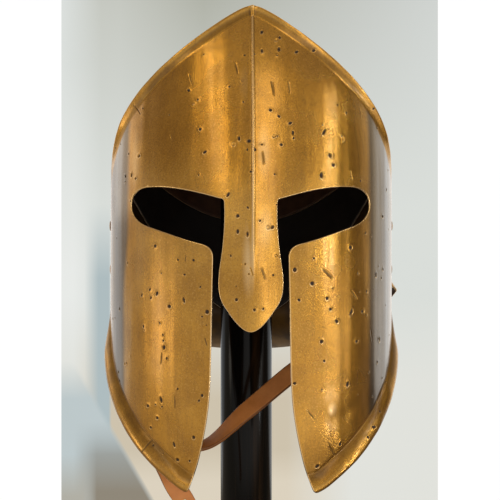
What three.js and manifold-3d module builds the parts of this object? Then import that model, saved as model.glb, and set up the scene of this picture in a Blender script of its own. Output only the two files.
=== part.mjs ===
// Corinthian helmet of sheet brass on a plain post stand, in millimetres, +Z up.
// The origin is the middle of the stand's foot. The nose guard faces -Y.

import * as THREE from 'three';
import { mergeVertices } from 'three/addons/utils/BufferGeometryUtils.js';
import Module from 'manifold-3d';

const wasm = await Module();
wasm.setup();

// Frame: d is the depth behind the nose ridge and h the height above the middle of the nose guard.
const NOSE_Y = -146;
const MID_Z = 290;
const toWorld = (x, d, h) => new THREE.Vector3(x, NOSE_Y + d, MID_Z + h);

// Sheets and gaps
const BRASS = 1.5;
const LEATHER = 2;
const STRAP = 2.5;
const GAP = 0.3;

// Plan section of the face plate: two elliptical halves that meet in a crease at the ridge.
const HALF_WIDTH = 116;
const RIDGE_SHIFT = 29;
const SECTION_A = HALF_WIDTH + RIDGE_SHIFT;
const SECTION_B = 127.6;
const WIDEST_D = SECTION_B * Math.sqrt(1 - (RIDGE_SHIFT / SECTION_A) ** 2);

// Lean of the ridge, back towards the apex and slightly back towards the chin
const LEAN_TOP = { from: 20, to: 183, back: 40 };
const LEAN_CHIN = { from: -40, to: -170, back: 8 };

// Rear end of the face plate, as a length round the section from the ridge
const PLATE_REAR_U = 200;

// Pointed arch: the face plate's upper edge, falling from the apex along the section
const ARCH = { apex: 182.5, slope: 0.64, round: 3, drop: 7, dropAt: 131, dropPower: 5 };
const ARCH_FLANGE = { width: 7, height: 3.5, fadeFrom: 118, fadeTo: 175 };

// Lower edge of the cheek plates, from the tips to the notch at the side
const CHEEK_EDGE = [
  { u: 0, h: -176 },
  { u: 46, h: -175.5 },
  { u: 70, h: -164 },
  { u: 100, h: -145 },
  { u: 130, h: -121.5 },
  { u: 155, h: -99 },
  { u: 178, h: -70 },
  { u: 192, h: -42 },
  { u: 200, h: -20 },
];
const CHEEK_LIP = { width: 13, height: 6, fadeFrom: 163, fadeTo: 188 };

// Facets of the face plate: columns along it, and rows by their distance from the lip and from the arch
const PLATE_FACETS = {
  columns: 34,
  lipRows: [0, 3.5, 7, 10, 14],
  middleRows: 10,
  archRows: [7.5, 3.5, 0],
  fullReach: 60,
};

// Raised bead down the ridge
const BEAD = { halfWidth: 2, height: 0.8, fullAbove: 40, goneBelow: -35 };

// Openings, as half widths and heights about a line a little left of the ridge.
// Each row is a curve from the row before it, by way of two handles.
const OPENING_X = -1.5;
const EYE_START = [22, 36.5];
const EYE_CURVES = [
  { first: [42, 42.5], second: [58, 46.5], to: [75.5, 46.5] },
  { first: [86.5, 46.5], second: [90.5, 41], to: [90.5, 34.5] },
  { first: [90.5, 26], second: [84.5, 20.5], to: [76.5, 17.5] },
  { first: [60, 12], second: [48, 7.5], to: [35.8, 4.5] },
  { first: [29.8, 3], second: [26.9, 0], to: [27, -6] },
];
const NOSE_START = [19, 33.5];
const NOSE_CURVES = [
  { first: [18.5, 22], second: [19, 8], to: [22, -10] },
  { first: [24.1, -24], second: [23.9, -34], to: [17.5, -42] },
  { first: [12.5, -49.5], second: [6, -58], to: [0, -58] },
];
const CHEEK_SLOT = [
  { h: -6, half: 27 },
  { h: -35, half: 27.7 },
  { h: -71, half: 28.4 },
  { h: -100, half: 29.4 },
  { h: -121, half: 31.6 },
  { h: -144, half: 36 },
  { h: -162, half: 41 },
  { h: -190, half: 53 },
];
const SLOT_STEPS = 13;
const CURVE_STEPS = 5;

// Skull: plan slices that shrink towards the crown, tucked inside the face plate at the front
const TUCK = BRASS + 3 * GAP;
const SKULL = { half: 115, back: 149, springH: 45, topH: 176.5, backPower: 2.5, planPower: 2.1 };
const NAPE = { from: 20, to: -70, half: 106, back: 132 };
const SLICE_FRONT = { fromH: 80, belowTop: 0.5, widest: 0.97, narrowest: 0.3 };
const LAP = { frontD: 101, above: 40, blendH: 15, ahead: 12, ridgeClear: 0.5 };
const BLEND = 1.5;

// Neck guard: the skull's lower edge drops and flares from the notch to the back
const NECK = { notchD: 140, notchH: -24, backH: -99, curve: 0.9, height: 46 };
const NECK_FLARE = { back: 34, side: 17, extraRight: 7, sideFullAt: 0.16, backFrom: 0.15 };

// Linings: depth under the skull's outside, edge height at the back, and how far the edge rises towards the sides
const LINER = { depth: BRASS + 1.5, backH: -64, rise: 125, behindArch: 15, columns: 28, rows: 13 };
const CROWN = { depth: LINER.depth + LEATHER + 1.7, backH: 27.5, rise: 55, behindArch: 26, columns: 24, rows: 10 };

// Rivets through the lap of the two sheets, as places on the face plate
const RIVETS = [
  { u: 181, h: 20, grip: 5.6 },
  { u: 191, h: 3, grip: 5.6 },
  { u: 183, h: -16, grip: 11 },
];
const RIVET = { shank: 2, head: 4.2, dome: 2, tail: 3.4, tailThick: 1.4 };
const DRILL = { length: 30, sides: 12 };

// Chin straps: paths as x, depth and height, with the direction of the strap's width at each row
const STRAP_WIDTH = 15;
const STRAP_STEPS = { left: 36, right: 52 };
const STRAP_LEFT = [
  { at: [-106.8, 122, -7], width: [0, 1, 0] },
  { at: [-106.8, 122, -16], width: [0, 1, 0] },
  { at: [-106.4, 119, -40], width: [0, 1, 0] },
  { at: [-104, 110, -75], width: [0.1, 0.95, 0.1] },
  { at: [-96, 92, -108], width: [0.25, 0.9, 0.25] },
  { at: [-86, 76, -135], width: [0.4, 0.8, 0.4] },
  { at: [-74, 64, -154], width: [0.47, 0.77, 0.44] },
  { at: [-65, 58, -168], width: [0.62, 0.6, 0.5] },
  { at: [-58.5, 55, -179], width: [0.75, 0.3, 0.55] },
  { at: [-51, 54, -190.5], width: [0.8, 0.15, 0.5] },
  { at: [-45, 54, -204], width: [0.9, 0.1, 0.35] },
  { at: [-42, 55, -219], width: [0.95, 0.05, 0.2] },
];
const STRAP_RIGHT = [
  { at: [106.8, 122, -7], width: [0, 1, 0] },
  { at: [106.8, 122, -16], width: [0, 1, 0] },
  { at: [105.8, 118, -34], width: [0, 1, 0] },
  { at: [99, 110, -50], width: [-0.1, 0.95, 0.1] },
  { at: [82, 97, -64], width: [-0.25, 0.85, 0.35] },
  { at: [58, 84, -78], width: [-0.4, 0.65, 0.6] },
  { at: [30, 74, -97], width: [-0.5, 0.45, 0.7] },
  { at: [-5, 68, -125], width: [-0.45, 0.6, 0.6] },
  { at: [-38, 63, -150], width: [-0.1, 0.95, 0.2] },
];
const RING_ROW = 6;
const RING = { bar: 2.6, openLong: 17, openShort: 6.7 };
const FOLD = { radius: 3.4, length: 13, closed: 1.5, bends: [0, 45, 90, 135, 180] };

// Stand
const POST = { x: -4, y: 0, radius: 22 };
const BASE = { radius: 150, thick: 20, edge: 3 };
const CAP = { radius: 34, underRadius: 29, topH: 166, drop: 11, thick: 24, rings: 4 };

const smoothstep = (from, to, value) => THREE.MathUtils.smoothstep(value, from, to);
const softMin = (a, b, blend) => 0.5 * (a + b - Math.hypot(a - b, blend));

// Slope of a function at a value, over a millimetre
const slopeOf = (curve, at) => curve(at + 0.5) - curve(at - 0.5);

// Height-by-length tables are read with a smooth curve through their rows.
function tableCurve(table, along, value) {
  const rows = [...table].sort((a, b) => a[along] - b[along]);
  const last = rows.length - 1;
  const slope = (i) => {
    const before = rows[Math.max(0, i - 1)];
    const after = rows[Math.min(last, i + 1)];
    return (after[value] - before[value]) / (after[along] - before[along]);
  };
  return (at) => {
    const t = THREE.MathUtils.clamp(at, rows[0][along], rows[last][along]);
    let i = 0;
    while (i < last - 1 && t > rows[i + 1][along]) {
      i += 1;
    }
    const span = rows[i + 1][along] - rows[i][along];
    const s = (t - rows[i][along]) / span;
    const h00 = (1 + 2 * s) * (1 - s) ** 2;
    const h10 = s * (1 - s) ** 2;
    const h01 = s * s * (3 - 2 * s);
    const h11 = s * s * (s - 1);
    return h00 * rows[i][value] + h10 * span * slope(i) + h01 * rows[i + 1][value] + h11 * span * slope(i + 1);
  };
}

const cheekEdgeH = tableCurve(CHEEK_EDGE, 'u', 'h');
const cheekSlotHalf = tableCurve(CHEEK_SLOT, 'h', 'half');

function lean(h) {
  const top = Math.max(0, (h - LEAN_TOP.from) / (LEAN_TOP.to - LEAN_TOP.from));
  const chin = Math.max(0, (h - LEAN_CHIN.from) / (LEAN_CHIN.to - LEAN_CHIN.from));
  return LEAN_TOP.back * top ** 2 + LEAN_CHIN.back * chin ** 2;
}

// Depth of the plan section at a half width, and the reverse, for a section moved in by an inset
function sectionDepth(x) {
  const q = Math.min(1, (Math.abs(x) + RIDGE_SHIFT) / SECTION_A);
  return WIDEST_D - SECTION_B * Math.sqrt(1 - q * q);
}

function sectionHalf(depth, inset) {
  const q = THREE.MathUtils.clamp((WIDEST_D - depth) / (SECTION_B - inset), 0, 1);
  return Math.max(0, (SECTION_A - inset) * Math.sqrt(1 - q * q) - RIDGE_SHIFT);
}

// The section measured by length: a fine table from the ridge to the widest line, straight behind it.
const SECTION_STEPS = 600;
const sectionTable = [{ u: 0, x: 0, d: 0 }];
for (let i = 1; i <= SECTION_STEPS; i += 1) {
  const before = sectionTable[i - 1];
  const x = HALF_WIDTH * Math.sin((i / SECTION_STEPS) * Math.PI / 2);
  const d = sectionDepth(x);
  sectionTable.push({ u: before.u + Math.hypot(x - before.x, d - before.d), x, d });
}
const WIDEST_U = sectionTable[SECTION_STEPS].u;

function sectionAt(u) {
  const length = Math.abs(u);
  if (length >= WIDEST_U) {
    return { x: Math.sign(u) * HALF_WIDTH, d: WIDEST_D + length - WIDEST_U };
  }
  let low = 0;
  let high = SECTION_STEPS;
  while (high - low > 1) {
    const middle = (low + high) >> 1;
    if (sectionTable[middle].u > length) {
      high = middle;
    } else {
      low = middle;
    }
  }
  const a = sectionTable[low];
  const b = sectionTable[high];
  const s = (length - a.u) / (b.u - a.u);
  return { x: Math.sign(u) * THREE.MathUtils.lerp(a.x, b.x, s), d: THREE.MathUtils.lerp(a.d, b.d, s) };
}

function archH(u) {
  const peak = ARCH.slope * (Math.hypot(u, ARCH.round) - ARCH.round);
  return ARCH.apex - peak - ARCH.drop * (Math.abs(u) / ARCH.dropAt) ** ARCH.dropPower;
}

// How far the face plate stands out from its plain rolled form: bead, arch flange and cheek lip
function plateRelief(u, h) {
  const across = Math.abs(u);
  const edgeCos = (edgeH) => 1 / Math.hypot(1, slopeOf(edgeH, across));
  const toArch = Math.max(0, (archH(across) - h) * edgeCos(archH));
  const flangeFade = 1 - smoothstep(ARCH_FLANGE.fadeFrom, ARCH_FLANGE.fadeTo, across);
  const flange = ARCH_FLANGE.height * flangeFade * Math.max(0, 1 - toArch / ARCH_FLANGE.width) ** 2;
  const toLip = THREE.MathUtils.clamp((h - cheekEdgeH(across)) * edgeCos(cheekEdgeH), 0, CHEEK_LIP.width);
  const lipFade = 1 - smoothstep(CHEEK_LIP.fadeFrom, CHEEK_LIP.fadeTo, across);
  const lip = CHEEK_LIP.height * lipFade * (0.5 + 0.5 * Math.cos((Math.PI * toLip) / CHEEK_LIP.width));
  const beadFade = smoothstep(BEAD.goneBelow, BEAD.fullAbove, h);
  const bead = BEAD.height * beadFade * Math.max(0, 1 - across / BEAD.halfWidth);
  return flange + lip + bead;
}

function platePoint(u, h, inward) {
  const { x, d } = sectionAt(u);
  const alongX = slopeOf((at) => sectionAt(at).x, u);
  const alongD = slopeOf((at) => sectionAt(at).d, u);
  const normal = new THREE.Vector3(alongD, -alongX, alongX * slopeOf(lean, h)).normalize();
  return toWorld(x, lean(h) + d, h).addScaledVector(normal, plateRelief(u, h) - inward);
}

// A closed sheet from a grid of outer and inner points. A folded top row closes on itself.
function sheetGeometry(outer, inner, foldedTop = false) {
  const rows = outer.length;
  const columns = outer[0].length;
  const positions = [];
  for (const side of [outer, inner]) {
    for (const row of side) {
      for (const point of row) {
        positions.push(point.x, point.y, point.z);
      }
    }
  }
  const innerStart = rows * columns;
  const at = (i, j) => i * columns + j;
  const index = [];
  const quad = (a, b, c, d) => index.push(a, b, c, a, c, d);
  for (let i = 0; i < rows - 1; i += 1) {
    for (let j = 0; j < columns - 1; j += 1) {
      const [a, b, c, d] = [at(i, j), at(i, j + 1), at(i + 1, j + 1), at(i + 1, j)];
      quad(a, b, c, d);
      quad(innerStart + a, innerStart + d, innerStart + c, innerStart + b);
    }
    for (const j of [0, columns - 1]) {
      const [a, b] = j === 0 ? [at(i + 1, j), at(i, j)] : [at(i, j), at(i + 1, j)];
      quad(a, innerStart + a, innerStart + b, b);
    }
  }
  for (let j = 0; j < columns - 1; j += 1) {
    quad(at(0, j + 1), at(0, j), innerStart + at(0, j), innerStart + at(0, j + 1));
    if (!foldedTop) {
      const i = rows - 1;
      quad(at(i, j), at(i, j + 1), innerStart + at(i, j + 1), innerStart + at(i, j));
    }
  }
  return indexed(positions, index);
}

// Shared corners are merged, and triangles that the merging closes up are left out.
function indexed(positions, index) {
  const geometry = new THREE.BufferGeometry();
  geometry.setAttribute('position', new THREE.Float32BufferAttribute(positions, 3));
  geometry.setIndex(index);
  return withoutSlivers(mergeVertices(geometry, 1e-3));
}

function withoutSlivers(geometry) {
  const source = geometry.getIndex().array;
  const kept = [];
  for (let i = 0; i < source.length; i += 3) {
    const [a, b, c] = [source[i], source[i + 1], source[i + 2]];
    if (a !== b && b !== c && c !== a) {
      kept.push(a, b, c);
    }
  }
  geometry.setIndex(kept);
  return geometry;
}

function toSolid(geometry) {
  const plain = geometry.clone();
  for (const name of Object.keys(plain.attributes)) {
    if (name !== 'position') {
      plain.deleteAttribute(name);
    }
  }
  const merged = withoutSlivers(mergeVertices(plain, 1e-4));
  return new wasm.Manifold(new wasm.Mesh({
    numProp: 3,
    vertProperties: new Float32Array(merged.getAttribute('position').array),
    triVerts: new Uint32Array(merged.getIndex().array),
  }));
}

function fromSolid(solid) {
  const mesh = solid.getMesh();
  const geometry = new THREE.BufferGeometry();
  geometry.setAttribute('position', new THREE.BufferAttribute(mesh.vertProperties, 3));
  geometry.setIndex(new THREE.BufferAttribute(mesh.triVerts, 1));
  return geometry;
}

// Evenly spread stations with chosen extra ones, in order
function stations(from, to, count, extra = []) {
  const even = Array.from({ length: count + 1 }, (_, i) => from + ((to - from) * i) / count);
  const spacing = Math.abs(to - from) / count;
  const clear = even.filter((value) => extra.every((other) => Math.abs(value - other) > 0.35 * spacing));
  return [...clear, ...extra].sort((a, b) => a - b);
}

// Outline of the openings: left eye, slot and gap between the cheeks, right eye, and round the nose guard
function openingShape() {
  const shape = new THREE.Shape();
  const point = (side, [half, h]) => [OPENING_X + side * half, h];
  const curvesOut = (side, curves) => {
    for (const { first, second, to } of curves) {
      shape.bezierCurveTo(...point(side, first), ...point(side, second), ...point(side, to));
    }
  };
  const curvesBack = (side, start, curves) => {
    for (let i = curves.length - 1; i >= 0; i -= 1) {
      const end = i > 0 ? curves[i - 1].to : start;
      shape.bezierCurveTo(...point(side, curves[i].second), ...point(side, curves[i].first), ...point(side, end));
    }
  };
  const slot = stations(CHEEK_SLOT[0].h, CHEEK_SLOT[CHEEK_SLOT.length - 1].h, SLOT_STEPS);
  const rootCorner = [NOSE_START[0], EYE_START[1]];
  shape.moveTo(...point(-1, EYE_START));
  curvesOut(-1, EYE_CURVES);
  [...slot].reverse().slice(1).forEach((h) => shape.lineTo(...point(-1, [cheekSlotHalf(h), h])));
  slot.forEach((h) => shape.lineTo(...point(1, [cheekSlotHalf(h), h])));
  curvesBack(1, EYE_START, EYE_CURVES);
  shape.quadraticCurveTo(...point(1, rootCorner), ...point(1, NOSE_START));
  curvesOut(1, NOSE_CURVES);
  curvesBack(-1, NOSE_START, NOSE_CURVES);
  shape.quadraticCurveTo(...point(-1, rootCorner), ...point(-1, EYE_START));
  return shape;
}

// The openings' outline cuts straight back, from ahead of the nose ridge to behind the outer eye corners.
function openingCutter() {
  const ahead = 20;
  const depth = 110;
  const options = { depth, bevelEnabled: false, curveSegments: CURVE_STEPS };
  const cutter = new THREE.ExtrudeGeometry(openingShape(), options);
  cutter.rotateX(Math.PI / 2);
  cutter.translate(0, NOSE_Y - ahead + depth, MID_Z);
  return toSolid(cutter);
}

function rivetDrill({ u, h }, side) {
  const { x, d } = sectionAt(side * u);
  const drill = new THREE.CylinderGeometry(RIVET.shank + GAP, RIVET.shank + GAP, DRILL.length, DRILL.sides);
  drill.rotateZ(Math.PI / 2);
  const centre = toWorld(x, d + lean(h), h);
  drill.translate(centre.x, centre.y, centre.z);
  return toSolid(drill);
}

function drilled(solid) {
  let result = solid;
  for (const side of [-1, 1]) {
    for (const place of RIVETS) {
      result = result.subtract(rivetDrill(place, side));
    }
  }
  return result;
}

// Heights of the face plate's facet rows at one column: close by the lip and the arch, even between them
function plateRowHeights(u) {
  const { lipRows, middleRows, archRows, fullReach } = PLATE_FACETS;
  const low = cheekEdgeH(Math.abs(u));
  const high = archH(u);
  const scale = Math.min(1, (high - low) / fullReach);
  const byLip = lipRows.map((rise) => low + rise * scale);
  const byArch = archRows.map((drop) => high - drop * scale);
  const between = Array.from({ length: middleRows }, (_, i) => (
    THREE.MathUtils.lerp(byLip[byLip.length - 1], byArch[0], (i + 1) / (middleRows + 1))));
  return [...byLip, ...between, ...byArch];
}

function facePlate() {
  const columns = stations(-PLATE_REAR_U, PLATE_REAR_U, PLATE_FACETS.columns, [-BEAD.halfWidth, 0, BEAD.halfWidth]);
  const heights = columns.map(plateRowHeights);
  const side = (inward) => heights[0].map((_, row) => columns.map((u, i) => platePoint(u, heights[i][row], inward)));
  const blank = toSolid(sheetGeometry(side(0), side(BRASS)));
  return fromSolid(drilled(blank.subtract(openingCutter())));
}

// Depth of the arch edge at a height, found along the section by halving
function archAt(h) {
  const halvings = 40;
  let low = 0;
  let high = PLATE_REAR_U;
  for (let i = 0; i < halvings; i += 1) {
    const middle = 0.5 * (low + high);
    if (archH(middle) > h) {
      low = middle;
    } else {
      high = middle;
    }
  }
  const { x, d } = sectionAt(low);
  return { x, d: d + lean(h) };
}

// Half width and back reach of the skull's plan slice at a height
function sliceSize(h) {
  const rise = THREE.MathUtils.clamp((h - SKULL.springH) / (SKULL.topH - SKULL.springH), 0, 1);
  const nape = smoothstep(0, 1, THREE.MathUtils.clamp((NAPE.from - h) / (NAPE.from - NAPE.to), 0, 1));
  const half = THREE.MathUtils.lerp(SKULL.half, NAPE.half, nape) * Math.sqrt(1 - rise * rise);
  const back = THREE.MathUtils.lerp(SKULL.back, NAPE.back, nape)
    * Math.max(0, 1 - rise ** SKULL.backPower) ** (1 / SKULL.backPower);
  return { half, back };
}

// Forward reach of the slice's front quarter, so that it passes just inside the arch edge
function sliceFront(h) {
  const height = THREE.MathUtils.clamp(h, SLICE_FRONT.fromH, SKULL.topH - SLICE_FRONT.belowTop);
  const edge = archAt(height);
  const share = (edge.x - TUCK) / sliceSize(height).half;
  const ratio = THREE.MathUtils.clamp(share, SLICE_FRONT.narrowest, SLICE_FRONT.widest);
  return (WIDEST_D - edge.d) / Math.sqrt(1 - ratio ** 2);
}

function lapFrontD(h) {
  if (h < LAP.above) {
    return LAP.frontD;
  }
  const alongArch = Math.max(archAt(h).d - LAP.ahead, lean(h) + TUCK + LAP.ridgeClear);
  return THREE.MathUtils.lerp(LAP.frontD, alongArch, smoothstep(LAP.above, LAP.above + LAP.blendH, h));
}

// Turn round the slice: 0 at the back, a right angle at the widest line, more in front of it
const turnOf = (d, back) => (d >= WIDEST_D
  ? Math.acos(THREE.MathUtils.clamp((d - WIDEST_D) / back, -1, 1))
  : Math.PI / 2 + (WIDEST_D - d) / SKULL.back);

function slicePoint(turn, h) {
  const { half, back } = sliceSize(h);
  const around = Math.abs(turn);
  const behind = around <= Math.PI / 2;
  const d = behind ? WIDEST_D + back * Math.cos(around) : WIDEST_D - (around - Math.PI / 2) * SKULL.back;
  const dome = behind
    ? half * Math.max(0, 1 - Math.cos(around) ** SKULL.planPower) ** (1 / SKULL.planPower)
    : half * Math.sqrt(Math.max(0, 1 - ((WIDEST_D - d) / sliceFront(h)) ** 2));
  const plate = sectionHalf(d - lean(h), TUCK);
  const x = Math.max(0, softMin(dome, plate, Math.min(BLEND, 0.3 * half)));
  return { x: Math.sign(turn) * x, d };
}

// Share of the way from the notch, 0, to the middle of the back, 1
function neckShare(turn) {
  return THREE.MathUtils.clamp(1 - Math.abs(turn) / turnOf(NECK.notchD, SKULL.back), 0, 1);
}

function neckEdgeH(turn) {
  return THREE.MathUtils.lerp(NECK.notchH, NECK.backH, Math.sin((neckShare(turn) * Math.PI) / 2) ** NECK.curve);
}

// Outward flare of the neck guard, most at its lower edge
function neckFlare(turn, h) {
  const { back, side, extraRight, sideFullAt, backFrom } = NECK_FLARE;
  const share = neckShare(turn);
  const sideHere = side + (turn > 0 ? extraRight : 0);
  const full = THREE.MathUtils.lerp(sideHere, back, smoothstep(backFrom, 1, share));
  const atEdge = full * smoothstep(0, sideFullAt, share);
  const above = THREE.MathUtils.clamp((h - neckEdgeH(turn)) / NECK.height, 0, 1);
  return atEdge * (1 - above) ** 2;
}

function skullBase(turn, h) {
  const { x, d } = slicePoint(turn, h);
  const flare = neckFlare(turn, h);
  const outward = new THREE.Vector2(x / SKULL.half, (d - WIDEST_D) / SKULL.back);
  if (flare === 0 || outward.lengthSq() === 0) {
    return toWorld(x, d, h);
  }
  outward.normalize();
  return toWorld(x + outward.x * flare, d + Math.max(0, outward.y) * flare, h);
}

// Height by share of the way up, measured up the side and then round the dome to the crown
function shareHeight(lowH, share) {
  const radius = SKULL.topH - SKULL.springH;
  const rise = lowH - SKULL.springH;
  const start = rise < 0 ? rise : radius * Math.asin(rise / radius);
  const along = THREE.MathUtils.lerp(start, (radius * Math.PI) / 2, share);
  return SKULL.springH + (along < 0 ? along : radius * Math.sin(Math.min(along / radius, Math.PI / 2)));
}

// A layer of the skull, given its edges and its depth under the outside
function skullLayer({ frontD, edgeH, columns, rows, depth, thick }) {
  const place = (across, share) => {
    const guessH = shareHeight(edgeH(across * Math.PI / 2), share);
    const reach = turnOf(frontD(guessH), sliceSize(guessH).back);
    const turn = across * reach;
    const h = shareHeight(edgeH(turn), share);
    return skullBase(turn, h);
  };
  const layer = (inward) => rows.map((share, i) => columns.map((across) => {
    const point = place(across, share);
    if (i === rows.length - 1) {
      return point.setX(0).add(new THREE.Vector3(0, 0, -inward));
    }
    const step = 0.004;
    const right = place(Math.min(1, across + step), share);
    const left = place(Math.max(-1, across - step), share);
    const up = place(across, Math.min(1, share + step));
    const down = place(across, Math.max(0, share - step));
    const normal = right.sub(left).cross(up.sub(down)).normalize();
    return point.addScaledVector(normal, inward);
  }));
  return sheetGeometry(layer(depth + thick), layer(depth), true);
}

function skullShell() {
  const geometry = skullLayer({
    frontD: lapFrontD,
    edgeH: neckEdgeH,
    columns: stations(-1, 1, 36),
    rows: stations(0, 1, 18),
    depth: 0,
    thick: BRASS,
  });
  return fromSolid(drilled(toSolid(geometry)));
}

function liner({ depth, backH, rise, behindArch, columns, rows }) {
  return skullLayer({
    frontD: (h) => archAt(Math.max(h, LAP.above)).d + behindArch,
    edgeH: (turn) => backH + rise * Math.sin(Math.min(Math.abs(turn), Math.PI / 2)) ** 2,
    columns: stations(-1, 1, columns),
    rows: stations(0, 1, rows),
    depth,
    thick: LEATHER,
  });
}

// Domed rivet along X: head outside, shank through the sheets, flat tail inside
function rivetGeometry(grip, side) {
  const profile = [
    [0, -grip - RIVET.tailThick],
    [RIVET.tail, -grip - RIVET.tailThick],
    [RIVET.tail, -grip],
    [RIVET.shank, -grip],
    [RIVET.shank, 0],
    [RIVET.head, 0],
    [RIVET.head * 0.9, RIVET.dome * 0.4],
    [RIVET.head * 0.55, RIVET.dome * 0.82],
    [0, RIVET.dome],
  ].map(([r, y]) => new THREE.Vector2(r, y));
  return new THREE.LatheGeometry(profile, 8).rotateZ((-side * Math.PI) / 2);
}

// A strap as a sheet along a smooth path, with a width direction for each row
function strapGeometry(rows, steps) {
  const points = rows.map((row) => toWorld(...row.at));
  const centre = new THREE.CatmullRomCurve3(points, false, 'centripetal');
  const last = rows.length - 1;
  const side = (offset) => stations(0, 1, steps).map((t) => {
    const i = Math.min(last - 1, Math.floor(t * last));
    const width = new THREE.Vector3(...rows[i].width).lerp(new THREE.Vector3(...rows[i + 1].width), t * last - i);
    const tangent = centre.getTangent(t);
    width.addScaledVector(tangent, -width.dot(tangent)).normalize();
    const normal = new THREE.Vector3().crossVectors(width, tangent);
    const point = centre.getPoint(t).addScaledVector(normal, offset);
    return [-0.5, 0.5].map((w) => point.clone().addScaledVector(width, w * STRAP_WIDTH));
  });
  return sheetGeometry(side(STRAP / 2), side(-STRAP / 2));
}

// The ring's own axes: along the left strap, along the strap's width, and towards the right strap
function ringAxes() {
  const before = toWorld(...STRAP_LEFT[RING_ROW - 1].at);
  const after = toWorld(...STRAP_LEFT[RING_ROW + 1].at);
  const along = after.sub(before).normalize();
  const wide = new THREE.Vector3(...STRAP_LEFT[RING_ROW].width);
  wide.addScaledVector(along, -wide.dot(along)).normalize();
  const across = new THREE.Vector3().crossVectors(wide, along);
  if (across.x < 0) {
    across.negate();
  }
  const strapOffset = RING.openShort / 2 - FOLD.radius + RING.bar / 2 - STRAP - GAP;
  const centre = toWorld(...STRAP_LEFT[RING_ROW].at).addScaledVector(across, -strapOffset);
  const heldBar = centre.clone().addScaledVector(across, (RING.openShort + RING.bar) / 2);
  return { along, wide, across, centre, heldBar };
}

function ringGeometry({ along, wide, across, centre }) {
  const rectangle = (Shape, long, short) => new Shape()
    .moveTo(-long / 2, -short / 2)
    .lineTo(long / 2, -short / 2)
    .lineTo(long / 2, short / 2)
    .lineTo(-long / 2, short / 2)
    .closePath();
  const outline = rectangle(THREE.Shape, RING.openLong + 2 * RING.bar, RING.openShort + 2 * RING.bar);
  outline.holes.push(rectangle(THREE.Path, RING.openLong, RING.openShort));
  const ring = new THREE.ExtrudeGeometry(outline, { depth: RING.bar, bevelEnabled: false });
  ring.translate(0, 0, -RING.bar / 2);
  const turned = new THREE.Matrix4().makeBasis(wide, new THREE.Vector3().crossVectors(along, wide), along);
  return ring.applyMatrix4(turned.setPosition(centre));
}

// The right strap's path, with its end folded round the held bar and laid back on itself
function foldedPath({ along, wide, across, heldBar }) {
  const spot = (out, up) => {
    const point = heldBar.clone().addScaledVector(across, out).addScaledVector(along, up);
    return { at: [point.x, point.y - NOSE_Y, point.z - MID_Z], width: wide.toArray() };
  };
  const r = FOLD.radius;
  const bends = FOLD.bends.map(THREE.MathUtils.degToRad);
  const round = bends.map((bend) => spot(-r * Math.sin(bend), -r * Math.cos(bend)));
  return [...STRAP_RIGHT, spot(FOLD.length, -FOLD.closed), ...round, spot(FOLD.length, FOLD.closed)];
}

const meshes = new THREE.Group();

function addMesh(name, geometry, look) {
  const mesh = new THREE.Mesh(geometry, new THREE.MeshStandardMaterial(look));
  mesh.name = name;
  meshes.add(mesh);
  return mesh;
}

const brassLook = { color: 0xb98a45, metalness: 1, roughness: 0.35 };
const blackLeatherLook = { color: 0x15110f, metalness: 0, roughness: 0.7 };
const brownLeatherLook = { color: 0x5a3520, metalness: 0, roughness: 0.65 };
const strapLook = { color: 0x8a4a24, metalness: 0, roughness: 0.55 };
const standLook = { color: 0x0c0c0e, metalness: 0.2, roughness: 0.15 };

addMesh('face_plate', facePlate(), brassLook);
addMesh('skull_shell', skullShell(), brassLook);
addMesh('liner_shell', liner(LINER), blackLeatherLook);
addMesh('liner_crown', liner(CROWN), brownLeatherLook);

// Rivets, seated on the outside of the face plate; the lowest on each side also grips a strap.
RIVETS.forEach(({ u, h, grip }, i) => {
  for (const [side, word] of [[-1, 'left'], [1, 'right']]) {
    const rivet = addMesh(`rivet_${word}_${i + 1}`, rivetGeometry(grip, side), brassLook);
    rivet.position.copy(toWorld(side * (HALF_WIDTH + GAP), sectionAt(u).d + lean(h), h));
  }
});

const ring = ringAxes();
const strapLeft = toSolid(strapGeometry(STRAP_LEFT, STRAP_STEPS.left));
const strapRight = toSolid(strapGeometry(foldedPath(ring), STRAP_STEPS.right));
addMesh('strap_left', fromSolid(drilled(strapLeft)), strapLook);
addMesh('strap_right', fromSolid(drilled(strapRight)), strapLook);
addMesh('buckle_ring', ringGeometry(ring), brassLook);

// The stand turns about the post's axis, apart from the base, which is centred on the whole.
function turned(profile, segments) {
  return new THREE.LatheGeometry(profile.map(([r, z]) => new THREE.Vector2(r, z)), segments).rotateX(Math.PI / 2);
}

const capTopZ = MID_Z + CAP.topH;
const base = turned([
  [0, 0],
  [BASE.radius, 0],
  [BASE.radius, BASE.thick - BASE.edge],
  [BASE.radius - BASE.edge, BASE.thick],
  [0, BASE.thick],
], 56);
const post = turned([
  [0, BASE.thick + GAP],
  [POST.radius, BASE.thick + GAP],
  [POST.radius, capTopZ - CAP.thick - GAP],
  [0, capTopZ - CAP.thick - GAP],
], 36);
const capCurve = Array.from({ length: CAP.rings + 1 }, (_, i) => {
  const share = 1 - i / CAP.rings;
  return [CAP.radius * share, capTopZ - CAP.drop * share ** 2];
});
const cap = turned([[0, capTopZ - CAP.thick], [CAP.underRadius, capTopZ - CAP.thick], ...capCurve], 28);
addMesh('stand_base', base, standLook);
addMesh('stand_post', post, standLook).position.set(POST.x, POST.y, 0);
addMesh('stand_cap', cap, standLook).position.set(POST.x, POST.y, 0);

export default meshes;
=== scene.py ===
"""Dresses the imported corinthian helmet: worked brass shells, lining, straps, rivets and the black stand."""

import math

import bmesh
import bpy
import numpy as np
from mathutils import Matrix, Vector
from mathutils.geometry import delaunay_2d_cdt
from mathutils.kdtree import KDTree


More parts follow.
